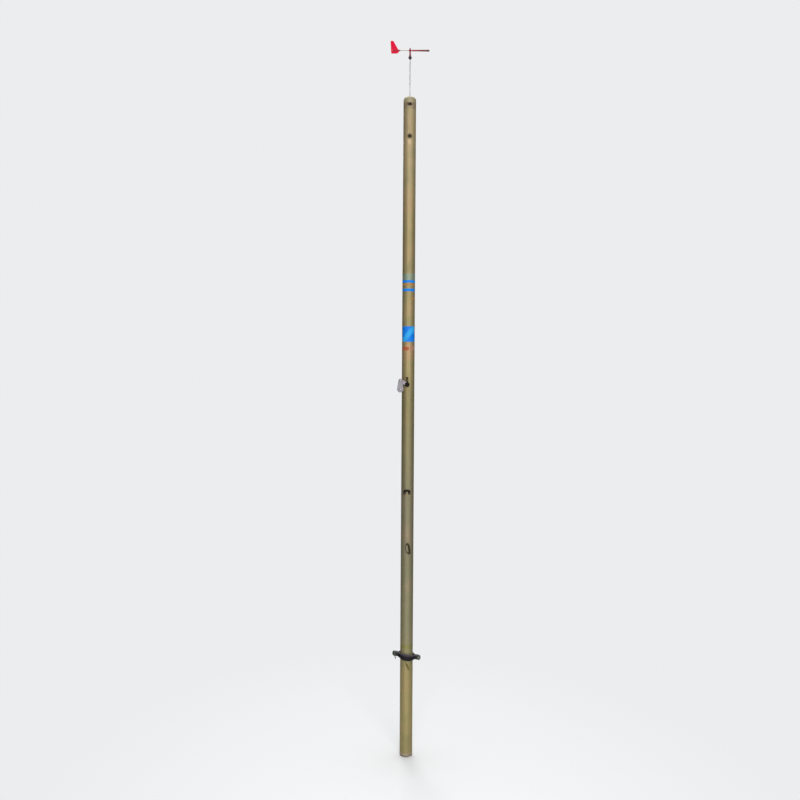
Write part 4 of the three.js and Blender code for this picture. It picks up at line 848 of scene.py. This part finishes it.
saddle = plate("fairlead_moulding", horseshoe, 0, crown, FRONT, centre)
carve(saddle, plate("side", from_side, -14, 14, (90, 0, -90), centre), "INTERSECT")
carve(saddle, plate("plan", from_above, -10, 10, (180, 0, 0), centre), "INTERSECT")
carve(saddle, mast_face(920, 962))
carve(saddle, turned("channel", rod(4, 920, 962), 64, at=(fairlead_x, -26.5, 0)))
carve(saddle, plate("channel", [(-4, -20), (4, -20), (4, 20), (-4, 20)], 0, 26.5, FRONT, centre))
for spot in fairlead_rivets:
    carve(saddle, hole(rivet_hole, spot))
skin(saddle, black, 0.25, 7)
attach(saddle, "mast")
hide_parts("fairlead_saddle")

for spot, name, tail, node in zip(fairlead_rivets, ("fairlead_rivet_near_left", "fairlead_rivet_near_right"),
                                  (14.1, 15.74), ("fairlead_rivet_left", "fairlead_rivet_right")):
    rivet = domed(name, aged_steel, spot, low_foot + 0.15, tail, 1.9, 3.3, 1.5, 0.7)
    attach(rivet, "mast")
    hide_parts(node)


# ------------------------------------------------------------------ jamming cleat
# Cast in aluminium alloy, grey gold and dull. Its two walls have slanted teeth over a narrowing groove, so
# that a line pulled down into it jams. Two cross-head screws hold it, leaning ten degrees to the left.
cast, tree, shader, place = new_finish("cast_alloy")
sand = noise(tree, place, 1500, 4, 0.7)
stain = noise(tree, place, 160, 4, 0.6)
tint = blend(tree, spread(tree, stain, 0.35, 0.7, 0, 0.7), tone(112, 104, 76), tone(82, 74, 48))
tint = blend(tree, spread(tree, sand, 0.5, 0.75, 0, 0.3), tint, tone(142, 134, 108))
# Painted light across the cleat: painted shade darkens its right wall, and a painted highlight lightens the
# left jaw.
cleat_x, cleat_z, cleat_lean = 2.3, 740, 10
lean = math.radians(cleat_lean)
aside = plus(tree, plus(tree, times(tree, axis(tree, place, "X"), math.cos(lean)),
                        times(tree, axis(tree, place, "Z"), math.sin(lean))),
             -mm * (cleat_x * math.cos(lean) + cleat_z * math.sin(lean)))
height = plus(tree, axis(tree, place, "Z"), -mm * cleat_z)
# Painted shade on the right wall.
tint = blend(tree, spread(tree, aside, 0.0, 0.0035, 0, 0.8, True), tint, tone(50, 42, 22))
# Painted highlight on the left jaw.
wear_and_highlight = times(tree, spread(tree, aside, -0.0062, -0.0046, 0, 1, True),
             spread(tree, aside, -0.0022, 0, 1, 0, True))
wear_and_highlight = times(tree, wear_and_highlight, times(tree, spread(tree, height, -0.0125, -0.0095, 0, 1, True),
                               spread(tree, height, 0.0095, 0.0125, 0.85, 0, True)))
tint = blend(tree, wear_and_highlight, tint, tone(186, 178, 152))
surface(tree, shader, tint, spread(tree, sand, 0.3, 0.7, 0.42, 0.62), plus(tree, sand, stain), 0.05, 0.8,
        metal=0.45)

jaw, half_width, lug_face, jaw_face = 12.9, 7.85, 26.7, 35.5
mouth, root = 4.5, 1.5
section = [(-half_width, 0), (half_width, 0), (half_width, lug_face + 1), (half_width - 1.2, jaw_face - 1.5),
           (half_width - 2, jaw_face), (mouth, jaw_face), (root, lug_face), (-root, lug_face),
           (-mouth, jaw_face), (2 - half_width, jaw_face), (1.2 - half_width, jaw_face - 1.5),
           (-half_width, lug_face + 1)]
cleat = plate("cleat_casting", section, -jaw, jaw, (180, 0, 0))
wall_lean = math.degrees(math.atan2(mouth - root, jaw_face - lug_face))
pitch = (2 * jaw - 3) / 7
for i in range(7):
    for side in (-1, 1):
        slot = plate("slot", [(-1.1, -8.8), (1.1, -8.8), (1.1, 8.8), (-1.1, 8.8)], -0.75, 0.75,
                     (32, 0, side * wall_lean), (side * 3, -31.1, 2.5 - jaw + pitch * (i + 0.5)))
        carve(cleat, slot)
base = plate("base", link((0, 11.65), half_width, (0, -11.65), half_width - 0.01), 0, lug_face)
carve(cleat, base, "UNION")
put(cleat, (0, -cleat_lean, 0), (cleat_x, 0, cleat_z))
carve(cleat, mast_face(700, 780))
for spot in cleat_screws:
    carve(cleat, hole(screw_hole, spot))
skin(cleat, cast, 0.26, 4)
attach(cleat, "mast")
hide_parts("cleat_body")

for name, spot, tail, lie, node in (("cleat_upper_screw", cleat_screws[0], 16.7, 20, "cleat_screw_upper"),
                                    ("cleat_lower_screw", cleat_screws[1], 16.1, 65, "cleat_screw_lower")):
    screw = domed(name, aged_steel, spot, lug_face + 0.15, tail, 2, 3.5, 2.2)
    for quarter in (0, 90):
        carve(screw, plate("driver", [(-1.9, -0.4), (1.9, -0.4), (1.9, 0.4), (-1.9, 0.4)], 27.9, 31,
                           (90, lie + quarter, 0), (spot[0], 0, spot[1])))
    shade(screw, 40)
    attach(screw, "mast")
    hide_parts(node)


# ------------------------------------------------------------------ thwart clamp
# Two black moulded half shells close over a split rubber liner and are bolted through their ears. The
# wing nut on the left is slack, so the clamp hangs askew, its right end low.
rubber = moulded("rubber", (24, 21, 25), (42, 39, 43), (0.75, 0.92), grain=900, depth=0.12, mottle=180)[0]
shell_black, tree, shader, place, tint = moulded("clamp_plastic", (15, 10, 15), (30, 23, 30), (0.5, 0.7),
                                                 depth=0.06, mottle=80, gloss=0.2)
# A painted highlight lightens its upper part to a plum grey, and its ears have a green cast.
clamp_z, clamp_tilt, clamp_slope = 355, 9.5, 0.1673
across = axis(tree, place, "X")
rise = plus(tree, plus(tree, axis(tree, place, "Z"), times(tree, across, clamp_slope)), -mm * clamp_z)
reach = add_node(tree, "ShaderNodeMath", {0: across}, operation="ABSOLUTE").outputs[0]
# Painted highlight over the upper part of the shells.
tint = blend(tree, spread(tree, rise, 0.0, 0.0125, 0, 0.75, True), tint, tone(108, 100, 106))
tint = blend(tree, spread(tree, reach, 0.03, 0.036, 0, 0.6, True), tint, tone(44, 54, 46))
tree.links.new(tint, shader.inputs["Base Color"])
wing_black = moulded("wing_plastic", (30, 34, 30), (52, 56, 50), (0.45, 0.65), mottle=200, gloss=0.3)[0]
bolt_steel = steel("bolt_steel", (92, 96, 86), (70, 70, 70), (0.36, 0.56), 0.6)
shell_inner, shell_outer, ear_x, ear_face = 26.856, 31.056, 44, 8.5


def askew(piece):
    # Puts a piece made about the origin in its place on the tilted clamp.
    put(piece, (0, clamp_tilt, 0), (0, 0, clamp_z))


liner = turned("clamp_liner_ring", ring(24.456, 26.556, -8, 8), 128)
carve(liner, plate("split", [(-32, -8.5), (0, -8.5), (0, 8.5), (-32, 8.5)], -1.5, 1.5))
round_edges(liner, 0.4, 3, 50)
coat(liner, rubber, 40)
askew(liner)
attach(liner, "liner")
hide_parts("clamp_liner")

swell = []
for i in range(33):
    x = -shell_outer + 2 * shell_outer * i / 32
    swell.append((x, 7 + 5 * abs(math.cos(math.pi / 2 * x / shell_outer)) ** 1.5))
swell += [(x, -z) for x, z in reversed(swell)]
for name, side, node in (("clamp_half_near", -1, "clamp_shell_front"),
                         ("clamp_half_far", 1, "clamp_shell_rear")):
    shell = turned(name, rod(shell_outer, -20, 20), 128)
    carve(shell, plate("swell", swell, -33, 33), "INTERSECT")
    carve(shell, plate("ears", link((-ear_x, 0), 7, (ear_x, 0), 6.99), -ear_face, ear_face), "UNION")
    carve(shell, turned("bore", rod(shell_inner, -24, 24), 128))
    near, far = (-60, 1.2) if side < 0 else (-1.2, 60)
    carve(shell, plate("other_half", [(-60, -24), (60, -24), (60, 24), (-60, 24)], near, far))
    for end in (-1, 1):
        carve(shell, turned("drill", rod(3.2, -12, 12), 40, FRONT, (end * ear_x, 0, 0)))
    skin(shell, shell_black, 0.4, 14)
    askew(shell)
    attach(shell, "clamp")
    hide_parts(node)


def hexagon(name, low, high, x):
    # A hexagon 10 mm across its flats, its corners turned down at both ends.
    piece = plate(name, arc(0, 0, 5 / math.cos(math.pi / 6), 30, 330, 5), low, high)
    carve(piece, turned("corners", [(0, low), (4.9, low), (5.9, low + 0.6), (5.9, high - 0.6), (4.9, high),
                                    (0, high)], 64, FRONT), "INTERSECT")
    put(piece, at=(x, 0, 0))
    return piece


for name, x, end, node in (("clamp_bolt_left", -ear_x, 20.6, "clamp_wing_bolt"),
                           ("clamp_bolt_right", ear_x, 18.3, "clamp_plain_bolt")):
    thread = []
    height = 7.0
    while height < end - 1.2:
        thread += [(2.62, height), (3, height + 0.4), (3, height + 0.5)]
        height += 1
    profile = [(0, -10.7), (3, -10.7), (3, 6.6)] + thread + [(2.62, end - 0.9), (2.2, end - 0.2), (1.9, end),
                                                             (0, end)]
    bolt = turned(name, profile, 40, FRONT, (x, 0, 0))
    carve(bolt, hexagon("bolt_head", -12.7, -8.7, x), "UNION")
    coat(bolt, bolt_steel, 32)
    askew(bolt)
    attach(bolt, "clamp")
    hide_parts(node)

for name, x, node in (("clamp_washer_left", -ear_x, "clamp_wing_washer"),
                      ("clamp_washer_right", ear_x, "clamp_plain_washer")):
    washer = turned(name, ring(3.1, 6.25, 8.7, 10.1), 56, FRONT, (x, 0, 0))
    round_edges(washer, 0.25, 2, 50)
    coat(washer, bolt_steel, 40)
    askew(washer)
    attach(washer, "clamp")
    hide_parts(node)

nut = hexagon("clamp_nut", 10.3, 15.5, ear_x)
carve(nut, turned("drill", rod(3.1, 5, 20), 40, FRONT, (ear_x, 0, 0)))
coat(nut, bolt_steel, 32)
askew(nut)
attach(nut, "clamp")
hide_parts("clamp_plain_nut")

wing = ([(0, 11.3), (5.5, 11.3)] + curve((5.5, 11.3), (12.5, 12.8), (14.5, 18.8))
        + curve((14.5, 18.8), (15, 22.8), (11.5, 22.8)) + curve((11.5, 22.8), (7, 21.8), (4.3, 16.3))
        + [(0, 16.3)])
wing_nut = turned("clamp_wing", [(0, 10.3), (5.5, 10.3), (5.3, 12), (4.7, 16.8), (3.9, 17.8), (0, 17.8)], 56,
                  FRONT)
carve(wing_nut, plate("wing", wing, -1.2, 1.2, (180, 0, 0)), "UNION")
carve(wing_nut, plate("wing", wing, -1.2, 1.2, (0, 0, 180)), "UNION")
carve(wing_nut, turned("drill", rod(3.1, 5, 30), 40, FRONT))
skin(wing_nut, wing_black, 0.24, 6)
put(wing_nut, (0, -118, 0), (-ear_x, 0, 0))
askew(wing_nut)
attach(wing_nut, "wing_nut")
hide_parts("clamp_wing_nut")
